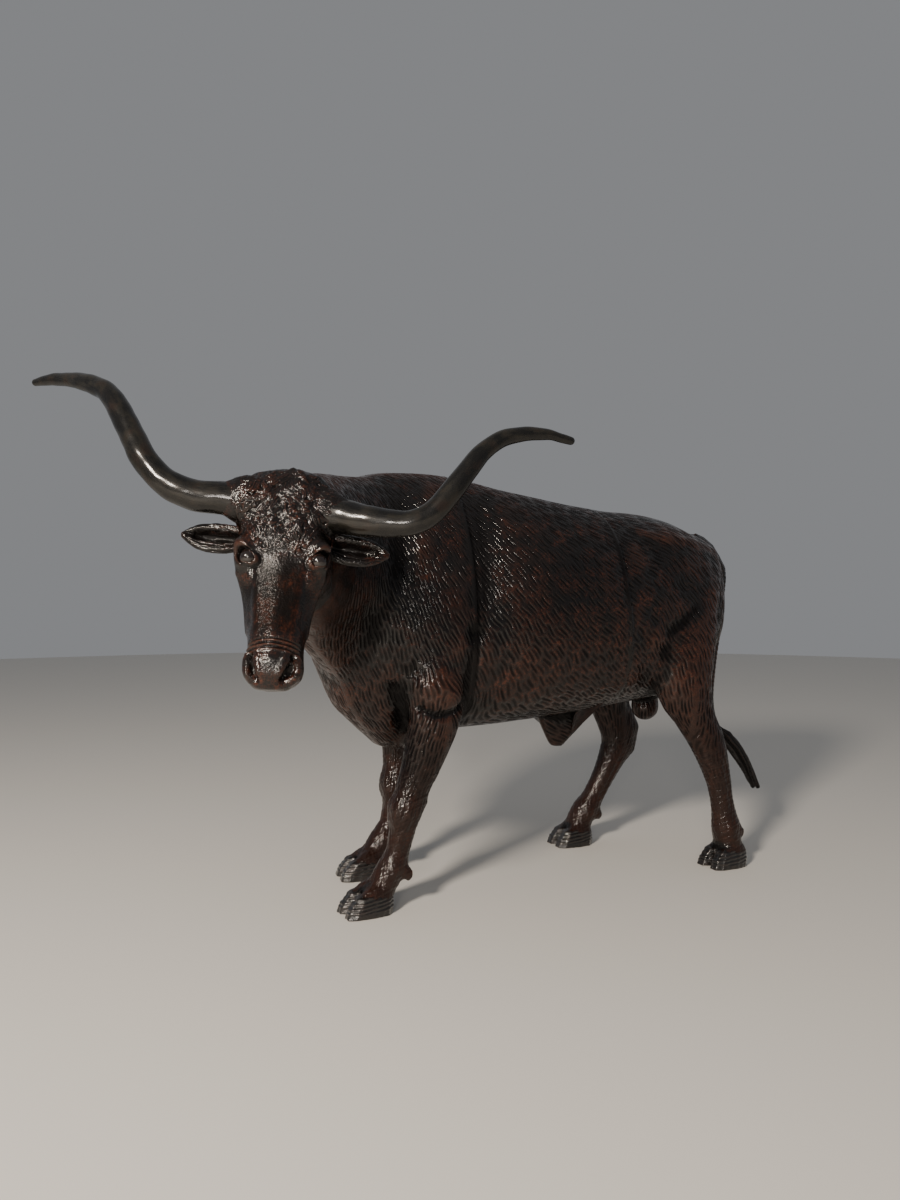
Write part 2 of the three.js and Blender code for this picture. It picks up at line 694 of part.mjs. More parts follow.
const nape = part(flesh, onHead(20, 0, -190), new THREE.Vector3(0.36, 0.93, 0.02));
add("head", nape.piece);
const collar = part(nape.rest, new THREE.Vector3(655, 70, 1100), new THREE.Vector3(0.9, 0.43, 0.05));
add("neck", collar.piece);

// The body's three castings meet at the two weld seams.
const shoulder = part(collar.rest, new THREE.Vector3(shoulderSeamX, 0, 1000), ahead);
add("shoulders", shoulder.piece);
const loin = part(shoulder.rest, new THREE.Vector3(loinSeamX, 0, 1000), new THREE.Vector3(-1, 0, -0.05));
add("hindquarters", loin.piece);
add("barrel", loin.rest);

// The origin is under the middle of the whole, on the ground.
const box = new THREE.Box3().setFromObject(bull);
const middle = box.getCenter(new THREE.Vector3());
for (const mesh of bull.children) mesh.geometry.translate(-middle.x, -middle.y, 0);

export default bull;
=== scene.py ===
import bmesh
import bpy
import numpy as np
from mathutils import Matrix, Vector


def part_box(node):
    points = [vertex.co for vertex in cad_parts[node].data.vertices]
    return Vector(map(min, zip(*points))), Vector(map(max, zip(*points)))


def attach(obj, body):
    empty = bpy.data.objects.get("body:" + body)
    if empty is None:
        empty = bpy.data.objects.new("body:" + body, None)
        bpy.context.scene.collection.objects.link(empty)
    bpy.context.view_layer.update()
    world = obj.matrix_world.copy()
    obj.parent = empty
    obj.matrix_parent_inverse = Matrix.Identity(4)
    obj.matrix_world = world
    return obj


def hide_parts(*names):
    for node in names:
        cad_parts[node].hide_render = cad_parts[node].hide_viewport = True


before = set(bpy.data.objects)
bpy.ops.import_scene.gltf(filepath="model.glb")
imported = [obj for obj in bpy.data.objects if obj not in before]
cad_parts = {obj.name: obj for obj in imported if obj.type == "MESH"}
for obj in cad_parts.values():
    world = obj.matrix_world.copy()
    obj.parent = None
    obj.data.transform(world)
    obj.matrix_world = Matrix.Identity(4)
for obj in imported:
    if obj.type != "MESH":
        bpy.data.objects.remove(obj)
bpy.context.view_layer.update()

# View. The camera stands off the left shoulder, a little over a metre up, level and without roll.
# Places on the statue are measured from its own middle line, under the loins: zero is where that
# point lies in the model's frame, found from the left fore hoof.
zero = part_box("left_fore_hoof")[0] - Vector((0.57137, 0.11579, 0.0))
lens_data = bpy.data.cameras.new("camera")
lens_data.sensor_width = 36
lens_data.lens = 27.03
camera = bpy.data.objects.new("camera", lens_data)
camera.location = zero + Vector((1.632, 3.048, 1.06))
camera.rotation_euler = Vector((-0.407, -0.913, -0.0056)).to_track_quat("-Z", "Y").to_euler()
bpy.context.scene.collection.objects.link(camera)
bpy.context.scene.camera = camera


# Studio. A pale painted floor, a soft lamp high in front of the left side, a weaker one low and
# farther off beside it, and a pale even room.
def linear(code):
    """The scene's linear colour for an sRGB colour such as "8a6b52"."""
    shades = [int(code[i:i + 2], 16) / 255 for i in (0, 2, 4)]
    return [s / 12.92 if s < 0.04045 else ((s + 0.055) / 1.055) ** 2.4 for s in shades] + [1.0]


def soft_lamp(name, place, size, power, colour):
    lamp = bpy.data.lights.new(name, "AREA")
    lamp.shape = "DISK"
    lamp.size = size
    lamp.energy = power
    lamp.color = linear(colour)[:3]
    holder = bpy.data.objects.new(name, lamp)
    holder.location = zero + Vector(place)
    holder.rotation_euler = (Vector((0.2, 0, 0.9)) - Vector(place)).to_track_quat("-Z", "Y").to_euler()
    bpy.context.scene.collection.objects.link(holder)


soft_lamp("key_lamp", (5.1, 4.1, 3.6), 1.0, 620, "fff2e2")
soft_lamp("low_lamp", (4.5, 7.0, 1.9), 1.2, 170, "fff6ec")

room = bpy.data.worlds.new("room")
room.use_nodes = True
room.node_tree.nodes["Background"].inputs["Color"].default_value = linear("e4e6ea")
room.node_tree.nodes["Background"].inputs["Strength"].default_value = 0.30
bpy.context.scene.world = room

floor_form = bmesh.new()
bmesh.ops.create_circle(floor_form, cap_ends=True, segments=96, radius=14)
bmesh.ops.translate(floor_form, verts=floor_form.verts, vec=(0, 0, -0.001))
floor_mesh = bpy.data.meshes.new("floor")
floor_form.to_mesh(floor_mesh)
floor_form.free()
floor = bpy.data.objects.new("floor", floor_mesh)
bpy.context.scene.collection.objects.link(floor)
floor_paint = bpy.data.materials.new("pale_floor_paint")
floor_paint.use_nodes = True
floor_shader = floor_paint.node_tree.nodes["Principled BSDF"]
floor_shader.inputs["Base Color"].default_value = linear("d9d6d0")
floor_shader.inputs["Roughness"].default_value = 0.7
floor.data.materials.append(floor_paint)


# Hide. The body, neck, head and legs are hollow bronze castings welded into one. One skin is drawn
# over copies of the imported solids, rounded off, and then modelled as the sculptor's clay was.
def piece_from(name, form):
    mesh = bpy.data.meshes.new(name)
    form.to_mesh(mesh)
    form.free()
    piece = bpy.data.objects.new(name, mesh)
    bpy.context.scene.collection.objects.link(piece)
    return piece


def copied(name, nodes, swell=0.0005):
    """Copies of CAD nodes in one mesh, swollen so that neighbours overlap."""
    form = bmesh.new()
    for node in nodes:
        form.from_mesh(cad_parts[node].data)
    bmesh.ops.remove_doubles(form, verts=form.verts, dist=1e-5)
    form.normal_update()
    for vert in form.verts:
        vert.co += vert.normal * swell
    return piece_from(name, form)


def shaped(piece, kind, **settings):
    """Adds one modifier and makes its result the piece's mesh."""
    modifier = piece.modifiers.new(kind, kind)
    for name, value in settings.items():
        setattr(modifier, name, value)
    graph = bpy.context.evaluated_depsgraph_get()
    piece.data = bpy.data.meshes.new_from_object(piece.evaluated_get(graph))
    piece.modifiers.clear()


def remeshed(piece, voxel):
    shaped(piece, "REMESH", mode="VOXEL", voxel_size=voxel, use_smooth_shade=True)


def read(items, name, width=3, kind=float):
    """One property of every item of a mesh, as rows of numbers."""
    flat = np.empty(len(items) * width, kind)
    items.foreach_get(name, flat)
    return flat.reshape(-1, width)


def places(piece):
    """Each vertex's place, measured from the statue's own zero."""
    return read(piece.data.vertices, "co") - np.array(zero)


def normals(piece):
    return read(piece.data.vertex_normals, "vector")


def place(piece, points):
    piece.data.vertices.foreach_set("co", (points + np.array(zero)).ravel())
    piece.data.update()


def edges(piece):
    return read(piece.data.edges, "vertices", 2, np.int32)


def neighbour_mean(values, pairs):
    """The mean of each vertex's neighbours, for one number or several at each vertex."""
    count = len(values)
    one, other = pairs[:, 0], pairs[:, 1]
    degree = np.bincount(one, minlength=count) + np.bincount(other, minlength=count)
    columns = values.reshape(count, -1).T
    sums = [np.bincount(one, c[other], count) + np.bincount(other, c[one], count) for c in columns]
    return (np.array(sums) / np.maximum(degree, 1)).T.reshape(values.shape)


def eased(piece, rounds, share):
    """Rounds off a surface without thinning it: share is how far a vertex goes towards the mean of
    its neighbours each round, and the broad part of what that moves is given back."""
    before = places(piece)
    points = before.copy()
    pairs = edges(piece)
    share = np.reshape(share, (-1, 1))
    for _ in range(rounds):
        points += share * (neighbour_mean(points, pairs) - points)
    loss = points - before
    for _ in range(rounds):
        loss += share * (neighbour_mean(loss, pairs) - loss)
    place(piece, points - loss)


def closed(piece):
    """Closes each open end of a piece with a flat cap that keeps a sharp rim."""
    form = bmesh.new()
    form.from_mesh(piece.data)
    rim = [edge for edge in form.edges if edge.is_boundary]
    bmesh.ops.holes_fill(form, edges=rim, sides=0)
    for edge in rim:
        edge.smooth = False
    form.to_mesh(piece.data)
    form.free()


def rise(low, high, value):
    """0 below low, 1 above high and a smooth step between."""
    t = np.clip((value - low) / (high - low), 0, 1)
    return t * t * (3 - 2 * t)


# The head's pose: turned to the left, rolled a little, and its face hanging steeply from the poll.
head_turn, head_roll, face_pitch = np.radians(70), np.radians(-3.5), np.radians(65)
head_axes = (Matrix.Rotation(head_turn, 3, "Z") @ Matrix.Rotation(head_roll, 3, "X")
             @ Matrix.Rotation(face_pitch, 3, "Y"))
head_axes = np.array(head_axes)
poll = np.array([1.027, 0.595, 1.327])


def on_head(points):
    """Places in the head's own frame: x down the face, y to its left, z out of the forehead."""
    return (points - poll) @ head_axes


def off_head(points):
    """Places in the head's own frame turned back into the statue's."""
    return np.array(points, float) @ head_axes.T + poll


# The body is eased hard to lose the solids' facets, and the head and legs only a little.
hide_nodes = [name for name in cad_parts
              if not name.startswith("tail") and not name.endswith(("_horn", "_ear"))]
hide = copied("hide", hide_nodes)
remeshed(hide, 0.0082)
spots = places(hide)
head_spots = on_head(spots)
headness = 1 - rise(0.30, 0.42, np.linalg.norm(head_spots - [0.22, 0, -0.07], axis=1))
trunk = rise(0.60, 0.76, spots[:, 2]) * (1 - headness)
eased(hide, 7, 0.6 - 0.25 * headness)
eased(hide, 60, 0.85 * trunk)


# The sculptor's modelling: bones, muscles and folds, pressed into or laid on the surface along
# lines. Each is a line of places, its width and how far it stands out; a hollow is negative.
def nearest(points, line, girth=None):
    """The distance of each point from a line of places, as a share of the line's girth there."""
    best = np.full(len(points), np.inf)
    line = np.array(line, float)
    girth = np.ones(len(line)) if girth is None else girth
    last = len(line) - 1
    for i in range(max(last, 1)):
        start, way = line[i], line[min(i + 1, last)] - line[i]
        share = np.clip((points - start) @ way / max(way @ way, 1e-12), 0, 1)
        distance = np.linalg.norm(points - start - share[:, None] * way, axis=1)
        best = np.minimum(best, distance / (girth[i] + share * (girth[min(i + 1, last)] - girth[i])))
    return best


def modelled(points, outward, marks, mirrored=False):
    """The points moved along their normals by a list of (line, width, height)."""
    lift = np.zeros(len(points))
    for line, width, height in marks:
        reach = np.full(len(points), np.inf)
        for side in ((1, -1) if mirrored else (1,)):
            along = np.array(line, float) * [1, side, 1]
            low, high = along.min(0) - 3 * width, along.max(0) + 3 * width
            close = np.all((points > low) & (points < high), axis=1)
            reach[close] = np.minimum(reach[close], nearest(points[close], along))
        lift += height * np.exp(-(reach / width) ** 2)
    return points + lift[:, None] * outward


muscles = [
    # shoulder: blade, hollow before the weld, upper arm, the fold over the elbow and its crease
    ([(0.40, 0.13, 1.43), (0.50, 0.25, 1.20), (0.60, 0.25, 0.98)], 0.050, 0.006),
    ([(0.26, 0.20, 1.38), (0.27, 0.29, 1.15), (0.29, 0.31, 0.95)], 0.050, -0.006),
    ([(0.31, 0.30, 0.93), (0.32, 0.28, 0.80), (0.335, 0.265, 0.70)], 0.032, -0.012),
    ([(0.50, 0.27, 0.92), (0.44, 0.30, 0.80)], 0.080, 0.008),
    ([(0.60, 0.24, 0.80), (0.50, 0.27, 0.75), (0.42, 0.30, 0.745), (0.36, 0.28, 0.72)], 0.022, 0.006),
    ([(0.51, 0.27, 0.685), (0.46, 0.29, 0.66), (0.41, 0.295, 0.66), (0.35, 0.27, 0.68)], 0.015, -0.014),
    ([(0.58, 0.22, 0.74), (0.55, 0.20, 0.66), (0.52, 0.15, 0.60)], 0.025, -0.012),
    # loin and croup: the hollow at the weld, the hook bone and the ridge back to the pin bone
    ([(-0.30, 0.29, 1.24), (-0.31, 0.32, 1.08)], 0.060, -0.008),
    ([(-0.40, 0.27, 1.21)], 0.070, 0.012),
    ([(-0.43, 0.20, 1.30), (-0.51, 0.22, 1.28), (-0.67, 0.20, 1.265), (-0.85, 0.13, 1.235)], 0.028, 0.008),
    ([(-0.50, 0.12, 1.37), (-0.75, 0.09, 1.33)], 0.045, -0.005),
    # thigh: creases and swellings over the stifle, the flank fold and the groove behind
    ([(-0.647, 0.274, 1.01), (-0.577, 0.278, 0.957), (-0.508, 0.289, 0.917)], 0.028, -0.006),
    ([(-0.586, 0.273, 1.087)], 0.055, -0.007),
    ([(-0.424, 0.304, 0.986)], 0.050, -0.005),
    ([(-0.487, 0.281, 0.849)], 0.038, -0.007),
    ([(-0.765, 0.233, 1.06)], 0.060, 0.008),
    ([(-0.443, 0.296, 0.892)], 0.045, 0.005),
    ([(-0.38, 0.30, 0.90), (-0.42, 0.26, 0.73)], 0.036, -0.007),
    ([(-0.80, 0.20, 1.05), (-0.76, 0.26, 0.85), (-0.74, 0.27, 0.72)], 0.022, -0.007),
]
place(hide, modelled(places(hide), normals(hide), muscles, mirrored=True))

# Legs: a line down each one's middle from knee or hock to fetlock, and from it the tendon's groove down
# each side of the cannon bone, the fetlock's knobs and hollows, and the knee's.
leg_lines = {
    "left_fore": [(0.508, 0.206, 0.395), (0.528, 0.202, 0.325), (0.540, 0.199, 0.268),
                  (0.556, 0.196, 0.200), (0.574, 0.193, 0.142)],
    "right_fore": [(0.404, -0.208, 0.395), (0.412, -0.204, 0.325), (0.420, -0.201, 0.268),
                   (0.436, -0.198, 0.200), (0.460, -0.195, 0.142)],
    "left_hind": [(-0.736, 0.250, 0.440), (-0.752, 0.253, 0.400), (-0.770, 0.255, 0.320),
                  (-0.784, 0.256, 0.230), (-0.800, 0.256, 0.155)],
    "right_hind": [(-0.620, -0.226, 0.400), (-0.590, -0.230, 0.350), (-0.550, -0.236, 0.270),
                   (-0.512, -0.243, 0.200), (-0.474, -0.249, 0.142)],
}
for name, line in leg_lines.items():
    line = np.array(line)
    fetlock, knee = line[-1], line[1]
    knobs = [
        ([fetlock + [0.03, 0, -0.012]], 0.034, 0.006),
        ([fetlock + [-0.045, 0, 0.0]], 0.030, 0.004),
        ([fetlock + [-0.075, 0, -0.020]], 0.024, -0.008),
        ([fetlock + [0.012, 0, 0.055]], 0.026, -0.004),
    ]
    for side in (1, -1):
        groove = line[1:-1] + [-0.012, side * 0.042, 0]
        knobs += [(groove, 0.010, -0.005), ([fetlock + [0.0, side * 0.045, 0.0]], 0.024, 0.004)]
        if "fore" in name:
            front = [knee + [0.045, side * 0.030, -0.020], knee + [0.045, side * 0.030, 0.035]]
            flank = [knee + [0.0, side * 0.055, 0.040], knee + [0.01, side * 0.052, -0.030]]
            knobs += [(front, 0.022, 0.006), (flank, 0.018, 0.005)]
    if "fore" in name:
        knobs += [
            ([knee + [-0.055, 0, 0.030]], 0.026, 0.012),
            ([knee + [0.050, 0, 0.075]], 0.030, -0.004),
            ([knee + [0.045, 0, -0.060]], 0.026, -0.005),
            ([knee + [-0.050, 0, -0.055]], 0.030, -0.005),
        ]
    place(hide, modelled(places(hide), normals(hide), knobs))


# Hair. The sculptor combed rows of strokes into the clay with a tool, down and back over the whole
# body. Two numbers unroll the surface, one along the strokes and one across them, both in metres.
combing = np.array([
    # place x, y, z, then the way the strokes run there
    [0.43, 0.02, 1.50, -0.75, 0.55, -0.30], [0.45, 0.15, 1.42, -0.50, 0.40, -0.75],
    [0.50, 0.27, 1.15, -0.30, 0.00, -1.00], [0.45, 0.29, 0.90, -0.35, 0.00, -1.00],
    [0.60, 0.25, 0.80, -0.15, 0.00, -1.00], [0.75, 0.10, 0.80, 0.00, 0.00, -1.00],
    [0.55, 0.10, 0.52, -0.60, 0.00, -0.60], [0.10, 0.05, 1.47, -0.95, 0.25, -0.10],
    [0.10, 0.18, 1.40, -0.85, 0.20, -0.50], [0.05, 0.33, 1.10, -0.70, 0.00, -0.75],
    [0.00, 0.33, 0.85, -0.65, 0.00, -0.80], [0.00, 0.20, 0.63, -0.75, -0.20, -0.60],
    [0.00, 0.00, 0.58, -1.00, 0.00, 0.00], [-0.30, 0.05, 1.41, -1.00, 0.15, -0.05],
    [-0.30, 0.22, 1.33, -0.90, 0.10, -0.35], [-0.30, 0.31, 1.05, -0.75, 0.00, -0.66],
    [-0.30, 0.30, 0.80, -0.70, 0.00, -0.75], [-0.42, 0.25, 1.20, -0.90, 0.00, -0.45],
    [-0.55, 0.28, 1.10, -0.55, 0.00, -0.85], [-0.60, 0.28, 0.90, -0.50, 0.00, -0.87],
    [-0.75, 0.22, 1.25, -0.85, 0.10, -0.50], [-0.85, 0.15, 1.00, -0.35, 0.00, -0.95],
    [-0.65, 0.28, 0.70, -0.20, 0.00, -1.00], [-0.95, 0.00, 1.10, 0.00, 0.00, -1.00],
    [-0.70, 0.00, 1.37, -1.00, 0.00, -0.20], [0.42, 0.20, 0.55, 0.00, 0.00, -1.00],
    [0.50, 0.20, 0.30, 0.00, 0.00, -1.00], [0.60, 0.20, 0.10, 0.00, 0.00, -1.00],
    [-0.72, 0.25, 0.50, 0.00, 0.00, -1.00], [-0.80, 0.25, 0.20, 0.00, 0.00, -1.00],
    [-0.62, 0.22, 0.45, 0.00, 0.00, -1.00], [-0.50, 0.24, 0.20, 0.00, 0.00, -1.00],
    [0.72, 0.10, 1.47, -0.60, 0.00, -0.80], [0.90, 0.35, 1.44, -0.30, 0.00, -1.00],
    [0.72, 0.28, 1.20, 0.00, 0.00, -1.00], [0.86, 0.35, 1.15, 0.00, 0.00, -1.00],
    [0.80, 0.02, 1.10, 0.00, 0.00, -1.00], [0.95, 0.45, 1.20, 0.00, 0.00, -1.00],
])
spots = places(hide)
outward = normals(hide)
pairs = edges(hide)
head_spots = on_head(spots)
mirror = np.where(spots[:, 1:2] < 0, -1.0, 1.0)
on_left = spots * np.hstack([mirror ** 2, mirror, mirror ** 2])
apart = np.linalg.norm(on_left[:, None] - combing[:, :3], axis=2)
share = 1 / (apart ** 2 + 0.003) ** 2
way = share @ combing[:, 3:]
way[:, 1] *= mirror[:, 0]
way /= np.linalg.norm(way, axis=1, keepdims=True)
down_face = head_axes[:, 0] + 0.35 * np.sign(head_spots[:, 1:2]) * head_axes[:, 1]
way = way * (1 - headness[:, None]) + down_face * headness[:, None]
way -= np.sum(way * outward, axis=1, keepdims=True) * outward
way /= np.maximum(np.linalg.norm(way, axis=1, keepdims=True), 1e-6)
across = np.cross(outward, way)

# The surface is closed round the body, the neck and each leg, so it is cut open along the spine,
# the belly and the insides of the legs, where the strokes part and fade out. The keel is the middle
# line of the turned neck, seen from above.
keel_x, keel_y = [0.45, 0.60, 0.745, 0.86, 0.94, 0.99], [0, 0.04, 0.14, 0.275, 0.41, 0.515]
aside = np.where(headness > 0.5, head_spots[:, 1], spots[:, 1] - np.interp(spots[:, 0], keel_x, keel_y))
one, other = pairs[:, 0], pairs[:, 1]
opened = aside[one] * aside[other] < 0
for line in leg_lines.values():
    line = np.array(line)[::-1]
    ahead = spots[:, 0] - np.interp(spots[:, 2], line[:, 2], line[:, 0])
    centre = line[0, 1]
    inner = (spots[:, 1] * np.sign(centre) < abs(centre)) & (spots[:, 2] < 0.72)
    inner &= np.abs(ahead) < 0.2
    opened |= (ahead[one] * ahead[other] < 0) & inner[one] & inner[other]


def unrolled(direction):
    """A number at each vertex that grows by the distance travelled along a direction: the least-squares
    answer over all edges, found by conjugate gradients."""
    step = spots[other] - spots[one]
    wanted = np.einsum("ij,ij->i", step, direction[one] + direction[other]) / 2 * ~opened
    count = len(spots)
    degree = np.bincount(one, ~opened, count) + np.bincount(other, ~opened, count) + 1e-6
    value = np.zeros(count)
    rest = np.bincount(other, wanted, count) - np.bincount(one, wanted, count)
    eased_rest = rest / degree
    search = eased_rest.copy()
    size = rest @ eased_rest
    for _ in range(500):
        change = (search[one] - search[other]) * ~opened
        spread = np.bincount(one, change, count) - np.bincount(other, change, count) + 1e-6 * search
        length = size / (search @ spread)
        value += length * search
        rest -= length * spread
        eased_rest = rest / degree
        fresh = rest @ eased_rest
        search = eased_rest + fresh / size * search
        size = fresh
    return value


def waver(points, size, phase):
    """A slow uneven number from -1 to 1 over space, with bumps of about a given size."""
    turns = np.array([(0.8, 0.5, 0.3), (-0.4, 0.9, 0.2), (0.3, -0.3, 0.9)]) * 6.28 / size
    waves = [np.sin(points @ turn + phase * (i + 1)) for i, turn in enumerate(turns)]
    return sum(waves) / 3


strand = np.zeros((len(spots), 3))
strand[:, 0] = unrolled(way)
strand[:, 1] = unrolled(across) + 0.006 * waver(spots, 0.16, 1.3) + 0.003 * waver(spots, 0.06, 4.1)

# Strokes fade out down the legs, on the croup and the head, and beside the welds.
weld_front, weld_rear = 0.305, -0.312
off_weld = np.minimum(np.abs(spots[:, 0] - weld_front),
                      np.abs(spots[:, 0] - weld_rear - 0.05 * (spots[:, 2] - 1.0)))
off_weld = np.where((spots[:, 2] < 0.62) & (np.abs(spots[:, 1]) > 0.1), 1, off_weld)
combed = 0.35 * rise(0.16, 0.40, spots[:, 2]) + 0.65 * rise(0.40, 0.62, spots[:, 2])
combed *= rise(0.004, 0.012, off_weld)
croup = np.exp(-(((spots - [-0.68, 0, 1.36]) / [0.25, 0.14, 0.10]) ** 2).sum(1))
combed *= 1 - 0.7 * croup
combed *= 1 - headness
parting = np.zeros(len(spots))
parting[pairs[opened].ravel()] = 1
combed *= 1 - np.minimum(1, 3 * neighbour_mean(parting, pairs) + parting)
strand[:, 2] = combed

# A bead of weld metal, ground nearly flush, runs round the body at both joints of the castings, and
# the shoulders stand a little prouder than the barrel at the front one.
spots = places(hide)
bead = 0.0012 * np.exp(-(off_weld / 0.006) ** 2) - 0.0018 * np.exp(-((off_weld - 0.010) / 0.004) ** 2)
past_weld = spots[:, 0] - weld_front
step = 0.0012 * rise(-0.004, 0.004, past_weld) * rise(0.12, 0.02, np.abs(past_weld))
place(hide, spots + (bead + step)[:, None] * outward)

# How far each place stands out from what is round it: lacquer is rubbed on the heights, and the
# dark wax stays in the hollows.
broad = places(hide)
for _ in range(60):
    broad = broad + 0.8 * (neighbour_mean(broad, pairs) - broad)
relief = np.einsum("ij,ij->i", places(hide) - broad, outward) / 0.004 - np.exp(-(off_weld / 0.008) ** 2)
relief = np.clip(relief, -1, 1)


def keep(piece, name, kind, values):
    attribute = piece.data.attributes.new(name, kind, "POINT")
    attribute.data.foreach_set("vector" if kind == "FLOAT_VECTOR" else "value", values.ravel())


keep(hide, "strand", "FLOAT_VECTOR", strand)
keep(hide, "relief", "FLOAT", relief)


# The skin is parted where the castings meet, so that each piece is a casting of its own.
def parted(form, point, direction):
    """The part of a form beyond a cutting plane; the form keeps the rest."""
    away = form.copy()
    cut_at = zero + Vector(point)
    for half, side in ((away, "clear_inner"), (form, "clear_outer")):
        bmesh.ops.bisect_plane(half, geom=half.verts[:] + half.edges[:] + half.faces[:], dist=1e-6,
                               plane_co=cut_at, plane_no=direction, **{side: True})
    return away


body_form = bmesh.new()
body_form.from_mesh(hide.data)
bpy.data.objects.remove(hide)
above_hock = 0.455
low_legs = parted(body_form, (0, 0, above_hock), (0, 0, -1))
castings = {}
nape = Vector(poll) + Vector(head_axes @ np.array([0.020, 0, -0.190]))
castings["head_hide"] = parted(body_form, nape, (0.36, 0.93, 0.02))
castings["neck_hide"] = parted(body_form, (0.655, 0.070, 1.100), (0.90, 0.43, 0.05))
fore_legs = parted(low_legs, (0, 0, 0), (1, 0, 0))
castings["left_foreleg_hide"] = parted(fore_legs, (0, 0, 0), (0, 1, 0))
castings["right_foreleg_hide"] = fore_legs
castings["left_hindleg_hide"] = parted(low_legs, (0, 0, 0), (0, 1, 0))
castings["right_hindleg_hide"] = low_legs
# Below the coronet the hooves are castings of their own, so the skin ends there.
coronet = 0.056
hoof_places = {"left_fore": (0.658, 0.188), "right_fore": (0.552, -0.191),
               "left_hind": (-0.798, 0.250), "right_hind": (-0.410, -0.255)}
for name, (x, y) in hoof_places.items():
    leg_form = castings[name.replace("fore", "foreleg").replace("hind", "hindleg") + "_hide"]
    parted(leg_form, (x - 0.028, y, coronet), (0.16, 0, -1)).free()
castings["shoulders_hide"] = parted(body_form, (weld_front, 0, 1), (1, 0, 0))
castings["rump_hide"] = parted(body_form, (-0.60, 0, 1), (-1, 0, 0))
castings["loin_hide"] = parted(body_form, (weld_rear, 0, 1), (-1, 0, -0.05))
castings["left_barrel_hide"] = parted(body_form, (0, 0, 0), (0, 1, 0))
castings["right_barrel_hide"] = body_form

# The strokes lie in rows, each row started at its own place, and no two next to each other are alike:
# each has its own depth, its own shift across the row and its own lean. The patina's nodes work out the
# same strokes from the same numbers. Sizes are in metres, the rest are shares of the gap.
stroke_gap, stroke_length, stroke_depth = 0.0120, 0.066, 0.0021
half_width, shift_most, lean_most = 0.42, 0.3, 0.4
row_start, chance_steps, lean_steps = 0.618034, (0.754878, 0.569840), (0.554500, 0.308100)


def strokes(strand):
    """How deep the comb has cut at each place, from 0 to 1."""
    row = np.floor(strand[:, 1] / stroke_gap)
    along = strand[:, 0] / stroke_length + (row * row * row_start) % 1
    column = np.floor(along)
    chance = (column * chance_steps[0] + row * chance_steps[1]) % 1
    lean = (column * lean_steps[0] + row * lean_steps[1]) % 1 - 0.5
    along -= column
    aside = strand[:, 1] / stroke_gap - row - 0.5 + (chance - 0.5) * shift_most
    aside += (along - 0.5) * lean * lean_most
    cut = np.clip(1 - (aside / half_width) ** 2, 0, 1) * np.clip(5 * along * (1 - along), 0, 1)
    return cut * (0.55 + 0.45 * chance) * strand[:, 2]


replaced = {
    "neck_hide": ["neck"],
    "shoulders_hide": ["shoulders", "left_fore_upper_leg", "right_fore_upper_leg"],
    "left_foreleg_hide": ["left_fore_lower_leg"],
    "right_foreleg_hide": ["right_fore_lower_leg"],
    "left_barrel_hide": ["barrel", "sheath"],
    "right_barrel_hide": ["barrel", "sheath"],
    "loin_hide": ["hindquarters"],
    "rump_hide": ["left_hind_upper_leg", "right_hind_upper_leg", "scrotum"],
    "left_hindleg_hide": ["left_hind_lower_leg"],
    "right_hindleg_hide": ["right_hind_lower_leg"],
}
# The lower legs are hardly combed, so they take the marks of the sculptor's fingers instead.
head_form = castings.pop("head_hide")
hides = {}
for name, form in castings.items():
    piece = piece_from(name, form)
    fine = 2 if "leg" in name else 1
    shaped(piece, "SUBSURF", levels=fine, render_levels=fine)
    piece.data.shade_smooth()
    cut = strokes(read(piece.data.attributes["strand"].data, "vector"))
    if fine == 2:
        cut += 0.5 * waver(places(piece), 0.019, 0.4) + 0.35 * waver(places(piece), 0.011, 2.9)
    place(piece, places(piece) - (stroke_depth * cut)[:, None] * normals(piece))
    closed(piece)
    hides[name] = piece


# Head. The sculptor built it up more finely than the body: brow and cheek bones, lids, nostrils, lips,
# wrinkles over the nose, and a mat of curls between the horns. It is cast in a face and a jaw.
def eye_axes(side):
    """An eye's own directions: down the face, down across the lids, and out of the eye."""
    return np.array([[1.0, 0, 0], [0, 0.8 * side, -0.6], [0, 0.6 * side, 0.8]])


